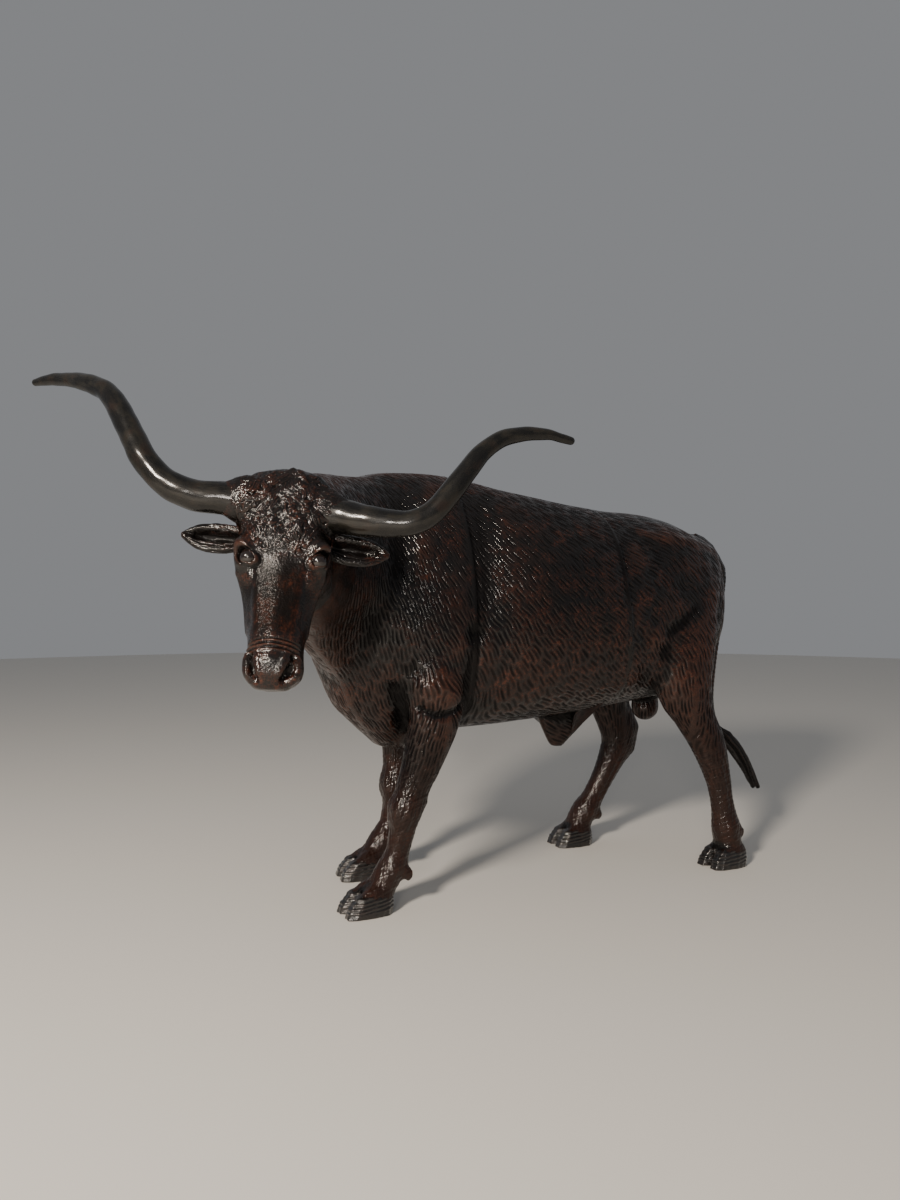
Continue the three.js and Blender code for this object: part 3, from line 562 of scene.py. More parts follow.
head = piece_from("head", head_form)
shaped(head, "SUBSURF", levels=2, render_levels=2)
head.data.shade_smooth()
eye_centres = {"left": np.array([0.192, 0.099, 0.002]), "right": np.array([0.195, -0.083, 0.008])}
globe_radii, globe_reach = (0.0215, 0.0225, 0.0218), 0.0025
features = [
    # cheek bone, the edge of the nose and the ridge down its middle
    ([(0.225, 0.112, -0.040), (0.29, 0.098, -0.065), (0.37, 0.082, -0.085)], 0.014, 0.006),
    ([(0.215, 0.060, 0.022), (0.30, 0.056, 0.006), (0.39, 0.050, -0.004)], 0.012, 0.0015),
    ([(0.22, 0.0, 0.035), (0.30, 0.0, 0.020), (0.40, 0.0, 0.005), (0.47, 0.0, -0.005)], 0.026, 0.006),
    # the bulge of the bone round the eye
    ([(0.165, 0.108, 0.004), (0.200, 0.110, -0.012)], 0.030, 0.010),
    # the hollows of the cheek and over the jaw, the jaw's edge and its muscle
    ([(0.27, 0.085, -0.018), (0.36, 0.076, -0.030)], 0.020, -0.006),
    ([(0.22, 0.108, -0.13), (0.34, 0.088, -0.12)], 0.030, -0.007),
    ([(0.06, 0.095, -0.205), (0.25, 0.075, -0.205), (0.42, 0.055, -0.150)], 0.022, 0.004),
    ([(0.12, 0.118, -0.12)], 0.055, 0.006),
    # the groove that runs down from the eye's inner corner
    ([(0.222, 0.072, 0.014), (0.245, 0.070, 0.004), (0.29, 0.080, -0.012)], 0.008, -0.005),
    # nostril, its rim outside and above, and the fold behind it
    ([(0.458, 0.062, -0.014), (0.482, 0.058, -0.014), (0.506, 0.049, -0.020), (0.519, 0.038, -0.028)],
     0.011, -0.019),
    ([(0.446, 0.060, -0.010), (0.462, 0.076, -0.026), (0.494, 0.074, -0.042), (0.520, 0.056, -0.048)],
     0.008, 0.0035),
    ([(0.452, 0.040, 0.002), (0.485, 0.036, 0.000), (0.510, 0.028, -0.008)], 0.010, 0.003),
    ([(0.424, 0.078, -0.030), (0.445, 0.084, -0.060)], 0.008, -0.004),
    # lips: the line between them and the lower one's roll
    ([(0.415, 0.084, -0.104), (0.455, 0.084, -0.099), (0.492, 0.079, -0.097), (0.517, 0.058, -0.097),
      (0.532, 0.028, -0.096), (0.535, 0.0, -0.096)], 0.006, -0.010),
    ([(0.455, 0.080, -0.118), (0.500, 0.066, -0.117), (0.520, 0.032, -0.116), (0.524, 0.0, -0.116)],
     0.011, 0.005),
]
spots = on_head(places(head))
outward = normals(head) @ head_axes
spots = modelled(spots, outward, features, mirrored=True)
# the muzzle is a little narrower on its right
spots[:, 1] *= 1 - 0.13 * rise(0.34, 0.45, spots[:, 0]) * (spots[:, 1] < 0)

# The upper corners of the forehead are drawn out sideways into bosses, then thinned round each horn's
# axis, given in x and z, to a rim that fits the horn's root.
boss = rise(0.088, 0.146, np.abs(spots[:, 1])) * (spots[:, 2] > -0.075)
boss *= np.abs(spots[:, 0] - 0.02) < 0.085
spots[:, 1] += np.sign(spots[:, 1]) * 0.030 * boss
horn_axes = {1: [(0.038, -0.013), (0.050, -0.002)], -1: [(0.018, -0.004), (0.016, 0.003)]}
for side, (axis_start, axis_end) in horn_axes.items():
    outness = rise(0.10, 0.19, side * spots[:, 1])[:, None]
    axis = np.array(axis_start) * (1 - outness) + np.array(axis_end) * outness
    spoke = spots[:, [0, 2]] - axis
    girth = np.maximum(np.linalg.norm(spoke, axis=1), 1e-6)
    limit = np.interp(side * spots[:, 1], [0.118, 0.128, 0.150, 0.176], [0.90, 0.072, 0.057, 0.044])
    spots[:, [0, 2]] = axis + spoke * np.minimum(1, limit / girth)[:, None]

# Each eye has a heavy brow, and under it an almond opening down to the globe, with lids that hug it.
for side, centre in ((1, eye_centres["left"]), (-1, eye_centres["right"])):
    local = (spots - centre) @ eye_axes(side).T
    front = rise(-0.030, -0.014, local[:, 2])
    brow = np.hypot((local[:, 0] + 0.037) / 0.026, (local[:, 1] - 0.004) / 0.034)
    local[:, 2] += 0.012 * np.exp(-brow ** 2) * front
    almond = np.hypot((local[:, 0] + 0.22 * local[:, 1]) / 0.0175, local[:, 1] / 0.0225)
    dome = 1 - (local[:, 0] / 0.0215) ** 2 - (local[:, 1] / 0.0230) ** 2
    dome = globe_reach + 0.0215 * np.sqrt(np.maximum(dome, 0))
    lidded = rise(0.92, 1.04, almond) * (1 - rise(1.16, 1.50, almond)) * front
    local[:, 2] += lidded * (dome + 0.0018 - local[:, 2])
    local[:, 2] -= 0.0018 * np.exp(-((almond - 1.55) / 0.14) ** 2) * front
    opening = (1 - rise(0.90, 1.04, almond)) * front
    local[:, 2] += opening * (np.minimum(local[:, 2], dome - 0.005) - local[:, 2])
    spots = centre + local @ eye_axes(side)

# Three wrinkles cross the nose, bowed towards the mouth at their ends.
over_nose = spots[:, 0] - 0.417 - 0.0012 * (spots[:, 1] / 0.03) ** 2
nose_top = rise(-0.052, -0.034, spots[:, 2]) * (1 - rise(0.066, 0.078, np.abs(spots[:, 1])))
lift = np.zeros(len(spots))
for place_across in (0, 0.0125, 0.025):
    lift -= 0.0040 * nose_top * np.exp(-((over_nose - place_across) / 0.0034) ** 2)
    lift += 0.0030 * nose_top * np.exp(-((over_nose - place_across - 0.0064) / 0.0038) ** 2)

# Curls: short bent locks of clay laid over one another from the brow up to the crown, then a fringe
# along their lower edge that sweeps down and in to a whorl between the eyes.
curl_spacing, curl_length, curl_girth = 0.0150, 0.056, 0.0094
rim_y = [0, 0.014, 0.04, 0.07, 0.10, 0.13, 0.16]
rim_x = [0.172, 0.170, 0.184, 0.160, 0.112, 0.072, 0.04]
curly = 1 - rise(-0.008, 0.008, spots[:, 0] - np.interp(np.abs(spots[:, 1]), rim_y, rim_x))
curly *= rise(-0.120, -0.095, spots[:, 0]) * rise(-0.085, -0.055, spots[:, 2])
curly *= 1 - rise(0.112, 0.156, np.abs(spots[:, 1]))
curly *= 0.25 + 0.75 * rise(-0.090, -0.030, spots[:, 0])
matted = np.flatnonzero((curly > 0) & (outward[:, 2] > -0.3))
mat = spots[matted]
chooser = np.random.default_rng(11)
roots, tries = [], 6000
for point in mat[chooser.permutation(len(mat))[:tries]]:
    if all(np.linalg.norm(point - root) > curl_spacing for root in roots):
        roots.append(point)
roots.sort(key=lambda root: -root[0])
locks = []
for root in roots:
    heading = np.arctan2(root[1] * 1.5, root[0] + 0.09) + chooser.normal(0, 0.6)
    turn = chooser.uniform(0.8, 3.2) * chooser.choice([-1, 1])
    length = curl_length * chooser.uniform(0.75, 1.25)
    bends = heading + turn * (np.linspace(0, 1, 8) - 0.5)
    steps = length / 7 * np.stack([np.cos(bends), np.sin(bends)], axis=1)
    line = root[:2] + np.cumsum(steps, axis=0) - steps.sum(0) / 2
    locks.append((line, curl_girth * chooser.uniform(0.75, 1.15), chooser.uniform(0, 0.0035)))
for i in range(8):
    for side in (1, -1):
        start = np.array([0.070 + 0.013 * i, side * (0.118 - 0.0145 * i)])
        end = np.array([0.178 - 0.004 * (7 - i), side * (0.006 + 0.0025 * (7 - i)) + 0.008])
        t = np.linspace(0, 1, 8)[:, None]
        line = start + (end - start) * t + np.array([0.020, 0.004 * side]) * np.sin(3.14 * t)
        locks.append((line, 0.0062, 0.0015 + 0.0006 * (i % 3)))
coat = np.zeros(len(mat))
for line, girth, level in locks:
    foot = [mat[np.argmin(np.linalg.norm(mat[:, :2] - p, axis=1) - 0.3 * mat[:, 2]), 2] for p in line]
    line = np.column_stack([line, foot])
    taper = girth * (0.25 + 0.75 * np.sin(3.14 * np.linspace(0.12, 0.93, len(line))))
    close = np.flatnonzero(np.all((mat > line.min(0) - 0.012) & (mat < line.max(0) + 0.012), axis=1))
    reach = nearest(mat[close], line, taper)
    over = 1 - rise(0.80, 1.0, reach)
    crown = np.sqrt(np.maximum(0, 1 - reach ** 2)) - 0.30 * np.cos(6.28 * 1.5 * reach)
    coat[close] = coat[close] * (1 - over) + over * (level + 0.0036 * crown)
lift[matted] += curly[matted] * (coat - 0.0015)
spots = spots + lift[:, None] * outward

# The front of the nose has been stroked till most of its lacquer is gone.
broad = spots
pairs = edges(head)
for _ in range(16):
    broad = broad + 0.8 * (neighbour_mean(broad, pairs) - broad)
relief = np.clip(np.einsum("ij,ij->i", spots - broad, outward) / 0.0022, -1, 1)
bare = 0.85 * rise(0.150, 0.250, spots[:, 0]) * (1 - rise(0.385, 0.410, spots[:, 0]))
bare *= rise(-0.03, 0.0, spots[:, 2])
bare *= 1 - rise(0.050, 0.068, np.abs(spots[:, 1]))
place(head, off_head(spots))
keep(head, "bare", "FLOAT", bare)
head.data.attributes["relief"].data.foreach_set("value", relief)
head_form = bmesh.new()
head_form.from_mesh(head.data)
bpy.data.objects.remove(head)
jaw_form = parted(head_form, off_head([0, 0, -0.070]), -head_axes[:, 2])
for name, form in (("face_hide", head_form), ("jaw_hide", jaw_form)):
    hides[name] = piece_from(name, form)
    closed(hides[name])
    replaced[name] = ["head"]


# Patina. The bronze is coloured nearly black with hot chemicals and wax, left rust brown where the
# brush thinned it, on the heights and low on the body, and sealed under a hard clear lacquer.
def added(tree, kind, inputs, output=0, **settings):
    """Adds one shader node with its settings, and links each input that is another's output."""
    node = tree.nodes.new("ShaderNode" + kind)
    for name, value in settings.items():
        setattr(node, name, value)
    for socket, value in inputs.items():
        if isinstance(value, bpy.types.NodeSocket):
            tree.links.new(value, node.inputs[socket])
        else:
            node.inputs[socket].default_value = value
    return node.outputs[output]


def metal(name, lacquer_roughness, metallic):
    """A new material with its node tree, shader and the piece's own coordinates."""
    material = bpy.data.materials.new(name)
    material.use_nodes = True
    tree = material.node_tree
    shader = tree.nodes["Principled BSDF"]
    shader.inputs["Metallic"].default_value = metallic
    shader.inputs["Coat Weight"].default_value = 1.0
    shader.inputs["Coat Roughness"].default_value = lacquer_roughness
    shader.inputs["Coat IOR"].default_value = 1.42
    spot = added(tree, "TexCoord", {}, "Object")
    return material, tree, shader, spot


patina, tree, shader, spot = metal("lacquered_dark_patina", 0.10, 0.0)
shader.inputs["Specular IOR Level"].default_value = 0.06

# the comb's strokes, as strokes() above works them out
groove_attribute = added(tree, "Attribute", {}, "Vector", attribute_name="strand")
parts = added(tree, "SeparateXYZ", {0: groove_attribute}, 0).node
along, across, strength = parts.outputs
across = added(tree, "Math", {0: across, 1: stroke_gap}, operation="DIVIDE")
row = added(tree, "Math", {0: across}, operation="FLOOR")
start = added(tree, "Math", {0: row, 1: row}, operation="MULTIPLY")
start = added(tree, "Math", {0: start, 1: row_start}, operation="MULTIPLY")
start = added(tree, "Math", {0: start}, operation="FRACT")
along = added(tree, "Math", {0: along, 1: stroke_length}, operation="DIVIDE")
along = added(tree, "Math", {0: along, 1: start}, operation="ADD")
column = added(tree, "Math", {0: along}, operation="FLOOR")
along = added(tree, "Math", {0: along}, operation="FRACT")
draws = []
for column_step, row_step in (chance_steps, lean_steps):
    draw = added(tree, "Math", {0: row, 1: row_step}, operation="MULTIPLY")
    draw = added(tree, "Math", {0: column, 1: column_step, 2: draw}, operation="MULTIPLY_ADD")
    draws.append(added(tree, "Math", {0: draw}, operation="FRACT"))
chance, lean = draws
aside = added(tree, "Math", {0: across}, operation="FRACT")
shift = added(tree, "Math", {0: chance, 1: shift_most, 2: -0.65}, operation="MULTIPLY_ADD")
aside = added(tree, "Math", {0: aside, 1: shift}, operation="ADD")
lean = added(tree, "Math", {0: lean, 1: lean_most, 2: -0.2}, operation="MULTIPLY_ADD")
middle = added(tree, "Math", {0: along, 1: -0.5}, operation="ADD")
aside = added(tree, "Math", {0: middle, 1: lean, 2: aside}, operation="MULTIPLY_ADD")
aside = added(tree, "Math", {0: aside, 1: half_width}, operation="DIVIDE")
aside = added(tree, "Math", {0: aside, 1: aside}, operation="MULTIPLY")
profile = added(tree, "Math", {0: 1.0, 1: aside}, operation="SUBTRACT", use_clamp=True)
rest = added(tree, "Math", {0: 1.0, 1: along}, operation="SUBTRACT")
ends = added(tree, "Math", {0: along, 1: rest}, operation="MULTIPLY")
ends = added(tree, "Math", {0: ends, 1: 5.0}, operation="MULTIPLY", use_clamp=True)
depth = added(tree, "Math", {0: chance, 1: 0.45, 2: 0.55}, operation="MULTIPLY_ADD")
cut = added(tree, "Math", {0: profile, 1: ends}, operation="MULTIPLY")
cut = added(tree, "Math", {0: cut, 1: depth}, operation="MULTIPLY")
cut = added(tree, "Math", {0: cut, 1: strength}, operation="MULTIPLY")

# mottling in patches of about 65 mm and 15 mm, and the grain of the cast face, about 3 mm
patches = added(tree, "TexNoise", {"Vector": spot, "Scale": 15.0, "Detail": 8.0, "Roughness": 0.66})
spatter = added(tree, "TexNoise", {"Vector": spot, "Scale": 65.0, "Detail": 4.0, "Roughness": 0.7})
speckle = added(tree, "TexNoise", {"Vector": spot, "Scale": 170.0, "Detail": 2.0, "Roughness": 0.6})
grain = added(tree, "TexNoise", {"Vector": spot, "Scale": 330.0, "Detail": 3.0})
height = added(tree, "Attribute", {}, "Fac", attribute_name="relief")
stand = added(tree, "SeparateXYZ", {0: spot}, 2)
# rust brown comes through most in patches, on heights and low on the body, and least on the shanks, which
# are painted darker from the knees down as shade
low = added(tree, "MapRange", {0: stand, 1: 1.30, 2: 0.75, 3: -0.30, 4: 0.06})
amount = added(tree, "MapRange", {0: patches, 1: 0.40, 2: 0.68, 3: -0.05, 4: 0.85})
amount = added(tree, "Math", {0: height, 1: 0.30, 2: amount}, operation="MULTIPLY_ADD")
amount = added(tree, "Math", {0: amount, 1: low}, operation="ADD")
# painted shade: darker towards the bottom of the legs
shank_painted_shade = added(tree, "MapRange", {0: stand, 1: 0.74, 2: 0.50, 3: 0.0, 4: -0.42})
amount = added(tree, "Math", {0: amount, 1: shank_painted_shade}, operation="ADD")
flecks = added(tree, "MapRange", {0: spatter, 1: 0.38, 2: 0.62, 3: 0.15, 4: 1.3})
amount = added(tree, "Math", {0: amount, 1: flecks}, operation="MULTIPLY")
pits = added(tree, "MapRange", {0: speckle, 1: 0.42, 2: 0.60, 3: 0.25, 4: 1.15})
amount = added(tree, "Math", {0: amount, 1: pits}, operation="MULTIPLY", use_clamp=True)
colour = added(tree, "Mix", {0: amount, 6: linear("0c0807"), 7: linear("482415")}, 2, data_type="RGBA")
rub = added(tree, "MapRange", {0: height, 1: 0.35, 2: 1.0, 3: 0.0, 4: 0.40})
colour = added(tree, "Mix", {0: rub, 6: colour, 7: linear("3f251a")}, 2, data_type="RGBA")
# black wax fills the strokes and hollows, and the shanks are painted darker as shade; where it is dark, the
# lacquer is turned down so that it reflects less, as painted shade
hollow = added(tree, "MapRange", {0: height, 1: -0.25, 2: -1.0, 3: 0.0, 4: 0.8})
wax_and_painted_shade = added(tree, "Math", {0: cut, 1: 0.95, 2: hollow}, operation="MULTIPLY_ADD")
wax_and_painted_shade = added(tree, "Math", {0: wax_and_painted_shade, 1: shank_painted_shade}, operation="SUBTRACT", use_clamp=True)
colour = added(tree, "Mix", {0: wax_and_painted_shade, 6: colour, 7: linear("060404")}, 2, data_type="RGBA")
tree.links.new(colour, shader.inputs["Base Color"])
# painted shade: the lacquer shines less in the dark strokes, hollows and shanks
lacquer = added(tree, "MapRange", {0: wax_and_painted_shade, 1: 0.2, 2: 1.0, 3: 1.0, 4: 0.25})
worn_off = added(tree, "Attribute", {}, "Fac", attribute_name="bare")
worn_off = added(tree, "Math", {0: 1.0, 1: worn_off}, operation="SUBTRACT")
lacquer = added(tree, "Math", {0: lacquer, 1: worn_off}, operation="MULTIPLY")
tree.links.new(lacquer, shader.inputs["Coat Weight"])
dull = added(tree, "MapRange", {0: spatter, 1: 0.3, 2: 0.7, 3: 0.5, 4: 0.7})
tree.links.new(dull, shader.inputs["Roughness"])
relief_height = added(tree, "Math", {0: grain, 1: 0.0010}, operation="MULTIPLY")
relief_height = added(tree, "Math", {0: cut, 1: -0.0016, 2: relief_height}, operation="MULTIPLY_ADD")
relief_height = added(tree, "Math", {0: spatter, 1: 0.0022, 2: relief_height}, operation="MULTIPLY_ADD")
relief_height = added(tree, "Math", {0: speckle, 1: 0.0012, 2: relief_height}, operation="MULTIPLY_ADD")
bumped = added(tree, "Bump", {"Strength": 1.0, "Distance": 1.0, "Height": relief_height})
tree.links.new(bumped, shader.inputs["Normal"])
# the lacquer fills the finest pits, so its own surface is smoother than the metal's
film_height = added(tree, "Math", {0: spatter, 1: 0.0012}, operation="MULTIPLY")
uncombed = added(tree, "MapRange", {0: strength, 1: 0.0, 2: 0.5, 3: 0.0016, 4: 0.0004})
pitting = added(tree, "Math", {0: speckle, 1: uncombed}, operation="MULTIPLY")
film_height = added(tree, "Math", {0: film_height, 1: pitting}, operation="ADD")
film_height = added(tree, "Math", {0: cut, 1: -0.0012, 2: film_height}, operation="MULTIPLY_ADD")
film = added(tree, "Bump", {"Strength": 1.0, "Distance": 1.0, "Height": film_height})
tree.links.new(film, shader.inputs["Coat Normal"])


def finished(piece, material, slot, *nodes):
    """Gives a piece its finish, and hides the CAD nodes it stands for."""
    piece.data.materials.clear()
    piece.data.materials.append(material)
    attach(piece, "root")
    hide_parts(*nodes)


for name, piece in hides.items():
    finished(piece, patina, "patina", *replaced[name])


# Eyes. Each is a bronze globe let in behind its lids, with no more than a faint dip round the iris. It
# is the most highly polished part, nearly black under its lacquer.
eye_metal, tree, shader, spot = metal("polished_black_eye", 0.03, 0.0)
cloud = added(tree, "TexNoise", {"Vector": spot, "Scale": 60.0, "Detail": 3.0})
colour = added(tree, "Mix", {0: cloud, 6: linear("0a0706"), 7: linear("1d1310")}, 2, data_type="RGBA")
tree.links.new(colour, shader.inputs["Base Color"])
shader.inputs["Roughness"].default_value = 0.2
for side, name in ((1, "left"), (-1, "right")):
    form = bmesh.new()
    bmesh.ops.create_uvsphere(form, u_segments=64, v_segments=48, radius=1)
    bmesh.ops.scale(form, vec=globe_radii, verts=form.verts)
    globe = piece_from(f"{name}_eyeball", form)
    globe.data.shade_smooth()
    ball = places(globe) + np.array(zero)
    local = ball @ eye_axes(side).T
    from_pupil = np.hypot(local[:, 0], local[:, 1])
    dip = -0.0003 * np.exp(-((from_pupil - 0.0125) / 0.0025) ** 2)
    ball = ball + (dip * (local[:, 2] > 0))[:, None] * normals(globe)
    place(globe, off_head(ball + eye_centres[name] + globe_reach * eye_axes(side)[2]))
    finished(globe, eye_metal, "eye_metal", f"{name}_eye")


# Horns. Cast in one length each and let into the bosses at the corners of the forehead, they are
# smooth, a little uneven along their length, and end in a blunt rounded tip.
def flowing(stations, steps):
    """A smooth run of stations through the given ones."""
    given = np.array(stations, float)
    given = np.vstack([2 * given[0] - given[1], given, 2 * given[-1] - given[-2]])
    t = np.arange(steps)[:, None] / steps
    runs = []
    for a, b, c, d in zip(given, given[1:], given[2:], given[3:]):
        bend, twist = 2 * a - 5 * b + 4 * c - d, 3 * b - a - 3 * c + d
        runs.append((2 * b + (c - a) * t + bend * t ** 2 + twist * t ** 3) / 2)
    return np.vstack(runs + [given[-2:-1]])


def rod(name, stations, around):
    """A round bar along stations of place and radius, with a rounded end."""
    end, before = stations[-1], stations[-2]
    way = (end[:3] - before[:3]) / np.linalg.norm(end[:3] - before[:3])
    turns = np.radians([20, 40, 57, 72, 84])
    tip = [np.append(end[:3] + way * end[3] * np.sin(a), end[3] * np.cos(a)) for a in turns]
    stations = np.vstack([stations, tip])
    curve = bpy.data.curves.new(name, "CURVE")
    curve.dimensions = "3D"
    curve.bevel_depth = 1
    curve.bevel_resolution = around // 4 - 1
    curve.use_fill_caps = True
    line = curve.splines.new("POLY")
    line.points.add(len(stations) - 1)
    for point, (x, y, z, radius) in zip(line.points, stations):
        point.co = (*(Vector((x, y, z)) + zero), 1)
        point.radius = radius
    holder = bpy.data.objects.new(name, curve)
    bpy.context.scene.collection.objects.link(holder)
    mesh = bpy.data.meshes.new_from_object(holder.evaluated_get(bpy.context.evaluated_depsgraph_get()))
    bpy.data.objects.remove(holder)
    form = bmesh.new()
    form.from_mesh(mesh)
    bmesh.ops.remove_doubles(form, verts=form.verts, dist=1e-6)
    bmesh.ops.recalc_face_normals(form, faces=form.faces)
    piece = piece_from(name, form)
    piece.data.shade_smooth()
    return piece


root_radius = 0.049
horn_courses = {
    # place in the head's frame and thickness, where 1 is as thick as the root
    "left": [(0.036, 0.100, -0.014, 1.0), (0.039, 0.132, -0.011, 1.0), (0.044, 0.160, -0.006, 0.98),
             (0.060, 0.209, 0.007, 0.92), (0.072, 0.281, 0.024, 0.79), (0.071, 0.340, 0.034, 0.73),
             (0.043, 0.395, 0.047, 0.67), (-0.016, 0.445, 0.062, 0.63), (-0.084, 0.489, 0.074, 0.59),
             (-0.144, 0.530, 0.080, 0.55), (-0.191, 0.580, 0.080, 0.50), (-0.220, 0.644, 0.072, 0.42),
             (-0.236, 0.718, 0.056, 0.33), (-0.236, 0.760, 0.0435, 0.28), (-0.235, 0.790, 0.034, 0.235)],
    "right": [(0.018, -0.100, -0.004, 0.99), (0.017, -0.134, -0.001, 0.98), (0.016, -0.174, 0.003, 0.95),
              (0.016, -0.250, 0.009, 0.87), (-0.011, -0.328, 0.018, 0.80), (-0.070, -0.392, 0.030, 0.75),
              (-0.123, -0.425, 0.036, 0.72), (-0.184, -0.461, 0.038, 0.68), (-0.254, -0.506, 0.033, 0.64),
              (-0.302, -0.549, 0.020, 0.60), (-0.345, -0.615, -0.009, 0.53), (-0.382, -0.703, -0.054, 0.40),
              (-0.3945, -0.755, -0.081, 0.31), (-0.4005, -0.795, -0.102, 0.235)],
}
# the horns' bronze is blacker than the hide's, brushed with wax along its length in thin pale streaks
horn_metal, tree, shader, spot = metal("lacquered_horn_metal", 0.17, 0.0)
shader.inputs["Specular IOR Level"].default_value = 0.08
streak_place = added(tree, "Attribute", {}, "Vector", attribute_name="strand")
streak_place = added(tree, "Mapping", {0: streak_place, 3: (9.0, 45.0, 45.0)})
streaks = added(tree, "TexNoise", {"Vector": streak_place, "Scale": 1.0, "Detail": 5.0, "Roughness": 0.65})
clouds = added(tree, "TexNoise", {"Vector": spot, "Scale": 22.0, "Detail": 5.0, "Roughness": 0.6})
grain = added(tree, "TexNoise", {"Vector": spot, "Scale": 300.0, "Detail": 3.0})
worn = added(tree, "Math", {0: streaks, 1: clouds}, operation="MULTIPLY")
worn = added(tree, "MapRange", {0: worn, 1: 0.19, 2: 0.36, 3: 0.0, 4: 1.0})
colour = added(tree, "Mix", {0: worn, 6: linear("0a0908"), 7: linear("1f1d18")}, 2, data_type="RGBA")
brown = added(tree, "MapRange", {0: clouds, 1: 0.52, 2: 0.7, 3: 0.0, 4: 0.7})
colour = added(tree, "Mix", {0: brown, 6: colour, 7: linear("1b110c")}, 2, data_type="RGBA")
tree.links.new(colour, shader.inputs["Base Color"])
dull = added(tree, "MapRange", {0: streaks, 1: 0.3, 2: 0.7, 3: 0.4, 4: 0.6})
tree.links.new(dull, shader.inputs["Roughness"])
unevenness = added(tree, "Math", {0: streaks, 1: 0.0030}, operation="MULTIPLY")
unevenness = added(tree, "Math", {0: grain, 1: 0.0005, 2: unevenness}, operation="MULTIPLY_ADD")
bumped = added(tree, "Bump", {"Strength": 1.0, "Distance": 1.0, "Height": unevenness})
tree.links.new(bumped, shader.inputs["Normal"])
film_height = added(tree, "Math", {0: streaks, 1: 0.0010}, operation="MULTIPLY")
film = added(tree, "Bump", {"Strength": 1.0, "Distance": 1.0, "Height": film_height})
tree.links.new(film, shader.inputs["Coat Normal"])
for name, course in horn_courses.items():
    course = flowing(course, 12)
    course[:, 3] *= root_radius
    course = np.hstack([off_head(course[:, :3]), course[:, 3:]])
    horn = rod(f"{name}_horn_casting", course, 44)
    spots = places(horn)
    which = np.argmin(np.linalg.norm(spots[:, None] - course[:, :3], axis=2), axis=1)
    length = np.append(0, np.cumsum(np.linalg.norm(np.diff(course[:, :3], axis=0), axis=1)))
    spoke = spots - course[which, :3]
    strand = np.stack([length[which], spoke @ head_axes[:, 2], spoke @ head_axes[:, 0]], axis=1)
    keep(horn, "strand", "FLOAT_VECTOR", strand)
    swell = 0.0016 * waver(spots, 0.13, 2.1) + 0.0009 * waver(spots, 0.05, 5.2)
    near_root = 1 - rise(0.05, 0.22, length[which])
    angle = np.arctan2(strand[:, 2], strand[:, 1])
    swell += 0.0012 * near_root * np.sin(11 * angle + 25 * length[which])
    place(horn, spots + swell[:, None] * normals(horn))
    finished(horn, horn_metal, "horn_metal", f"{name}_horn")


# Ears. Thin leaf-shaped castings, cupped in front, with hair grooves fanned along the cup, welded on
# under the horns.
for side, name in ((1, "left"), (-1, "right")):
    ear = copied(f"{name}_ear_casting", [f"{name}_ear"])
    remeshed(ear, 0.0028)
    eased(ear, 5, 0.6)
    spots = on_head(places(ear))
    outward = normals(ear) @ head_axes
    t = (np.abs(spots[:, 1]) - 0.092) / 0.196
    spots[:, 1] -= side * 0.016 * (1 - rise(0.05, 0.40, t))
    from_line = spots[:, 0] - 0.108 - (0.014 if side > 0 else -0.012) * t
    fan = from_line / (0.012 + 0.8 * np.clip(t * (1.05 - t), 0, 1) * 0.06)
    cup = (outward[:, 2] > 0.1) * rise(0.1, 0.25, t) * (1 - rise(0.85, 1.0, t))
    lift = -0.0016 * cup * np.clip(np.cos(6.28 * 2.4 * fan + 3 * waver(spots, 0.05, 0.4)), -0.2, 1)
    hollow = np.clip(1 - (1.6 * fan + 0.25) ** 2, 0, 1) * rise(0.02, 0.30, t) * (1 - rise(0.65, 1.0, t))
    spots[:, 0] += 0.008 * rise(0, 0.5, fan) * rise(0.1, 0.4, t) * (1 - rise(0.6, 0.95, t))
    spots[:, 2] -= 0.026 * hollow
    place(ear, off_head(spots + lift[:, None] * outward))
    # painted shade: the cup's hollow is given a low relief, so the patina paints it near black
    keep(ear, "relief", "FLOAT", np.clip(lift / 0.0016 + 0.3 * (1 - cup) - 1.2 * hollow * cup, -1, 1))
    ear.data.shade_smooth()
    finished(ear, patina, "patina", f"{name}_ear")


# Hooves. Two claws side by side under a rounded coronet, black, with growth rings round the wall.
# the bronze is blacked under its lacquer, and rubbed a little browner on the growth rings
hoof_metal, tree, shader, spot = metal("lacquered_black_hoof", 0.06, 0.25)
clouds = added(tree, "TexNoise", {"Vector": spot, "Scale": 40.0, "Detail": 6.0, "Roughness": 0.65})
grain = added(tree, "TexNoise", {"Vector": spot, "Scale": 260.0, "Detail": 3.0})
height = added(tree, "Attribute", {}, "Fac", attribute_name="relief")
worn = added(tree, "MapRange", {0: clouds, 1: 0.4, 2: 0.7, 3: 0.0, 4: 0.6})
worn = added(tree, "Math", {0: height, 1: 0.35, 2: worn}, operation="MULTIPLY_ADD", use_clamp=True)
colour = added(tree, "Mix", {0: worn, 6: linear("0a0807"), 7: linear("271b16")}, 2, data_type="RGBA")
tree.links.new(colour, shader.inputs["Base Color"])
dull = added(tree, "MapRange", {0: clouds, 1: 0.3, 2: 0.7, 3: 0.25, 4: 0.5})
tree.links.new(dull, shader.inputs["Roughness"])
uneven = added(tree, "Math", {0: clouds, 1: 0.0030}, operation="MULTIPLY")
uneven = added(tree, "Math", {0: grain, 1: 0.0006, 2: uneven}, operation="MULTIPLY_ADD")
bumped = added(tree, "Bump", {"Strength": 1.0, "Distance": 1.0, "Height": uneven})
tree.links.new(bumped, shader.inputs["Normal"])
tree.links.new(bumped, shader.inputs["Coat Normal"])
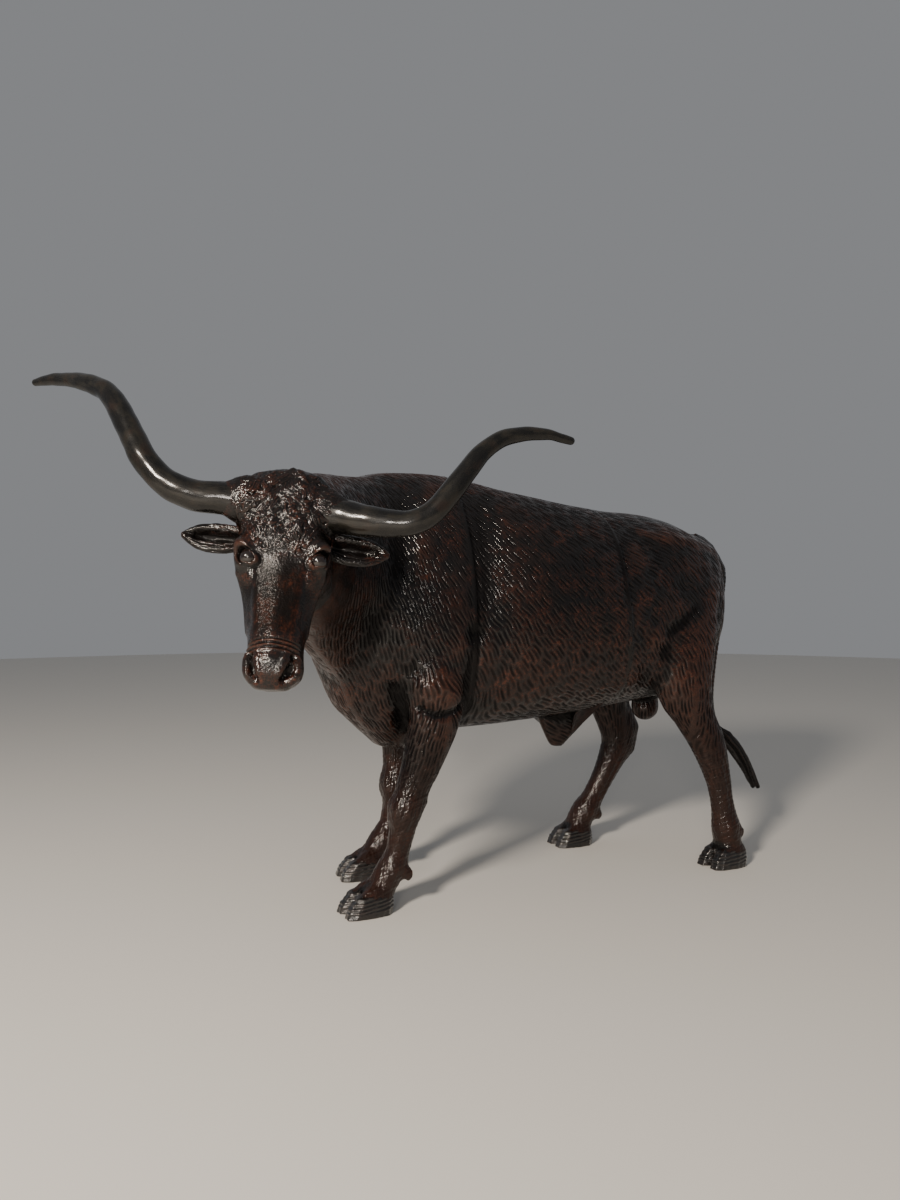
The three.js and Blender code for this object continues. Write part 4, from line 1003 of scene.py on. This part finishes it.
for name in leg_lines:
    hoof = copied(f"{name}_hoof_casting", [f"{name}_hoof"])
    remeshed(hoof, 0.0026)
    eased(hoof, 5, 0.6)
    spots = places(hoof)
    outward = normals(hoof)
    wall = rise(0.012, 0.022, spots[:, 2]) * (1 - rise(0.062, 0.082, spots[:, 2]))
    wall *= 1 - outward[:, 2] ** 2
    rings = spots[:, 2] + 0.12 * (spots[:, 0] - spots[:, 0].mean()) + 0.003 * waver(spots, 0.07, 1.7)
    lift = 0.0017 * wall * np.sin(6.28 * rings / 0.0125)
    pitted = 0.0010 * waver(spots, 0.021, 0.7)
    place(hoof, spots + (lift + pitted)[:, None] * outward)
    standing = places(hoof)
    standing[:, 2] = np.maximum(standing[:, 2], 0)
    place(hoof, standing)
    keep(hoof, "relief", "FLOAT", np.clip(lift / 0.0017, -1, 1))
    hoof.data.shade_smooth()
    finished(hoof, hoof_metal, "hoof_metal", f"{name}_hoof")


# Tail. A bar of bronze that hangs from the rump and kicks back in a heavy tuft, with the hair cut
# into it in long grooves.
tail_line = [
    (-0.850, 0.0, 1.288), (-0.922, 0.0, 1.258), (-0.980, 0.002, 1.178), (-0.976, 0.006, 1.040),
    (-0.955, 0.010, 0.890), (-0.930, 0.014, 0.740), (-0.920, 0.016, 0.600), (-0.936, 0.016, 0.520),
    (-0.978, 0.016, 0.455), (-1.060, 0.016, 0.370), (-1.130, 0.016, 0.270), (-1.190, 0.016, 0.200),
]
for node, hairs, depth in (("tail", 7, 0.0012), ("tail_tuft", 11, 0.0034)):
    hair = copied(f"{node.removeprefix('tail_')}_casting", [node])
    remeshed(hair, 0.0030)
    eased(hair, 4, 0.6)
    spots = places(hair)
    course = flowing(tail_line, 8)
    which = np.argmin(np.linalg.norm(spots[:, None] - course, axis=2), axis=1)
    length = np.append(0, np.cumsum(np.linalg.norm(np.diff(course, axis=0), axis=1)))
    spoke = spots - course[which]
    angle = np.arctan2(spoke[:, 1], spoke[:, 0] * 0.75 - spoke[:, 2] * 0.66)
    wave = np.cos(hairs * angle + 9 * length[which] + 1.2 * waver(spots, 0.09, 0.9))
    lift = depth * (np.abs(wave) ** 0.7 * np.sign(wave) - 0.4)
    spots = spots + lift[:, None] * normals(hair)
    if node == "tail":
        spots[:, 0] += 0.014 * rise(1.16, 1.24, spots[:, 2])
    place(hair, spots)
    keep(hair, "relief", "FLOAT", np.clip(wave, -1, 1) * 0.8)
    hair.data.shade_smooth()
    finished(hair, patina, "patina", node)
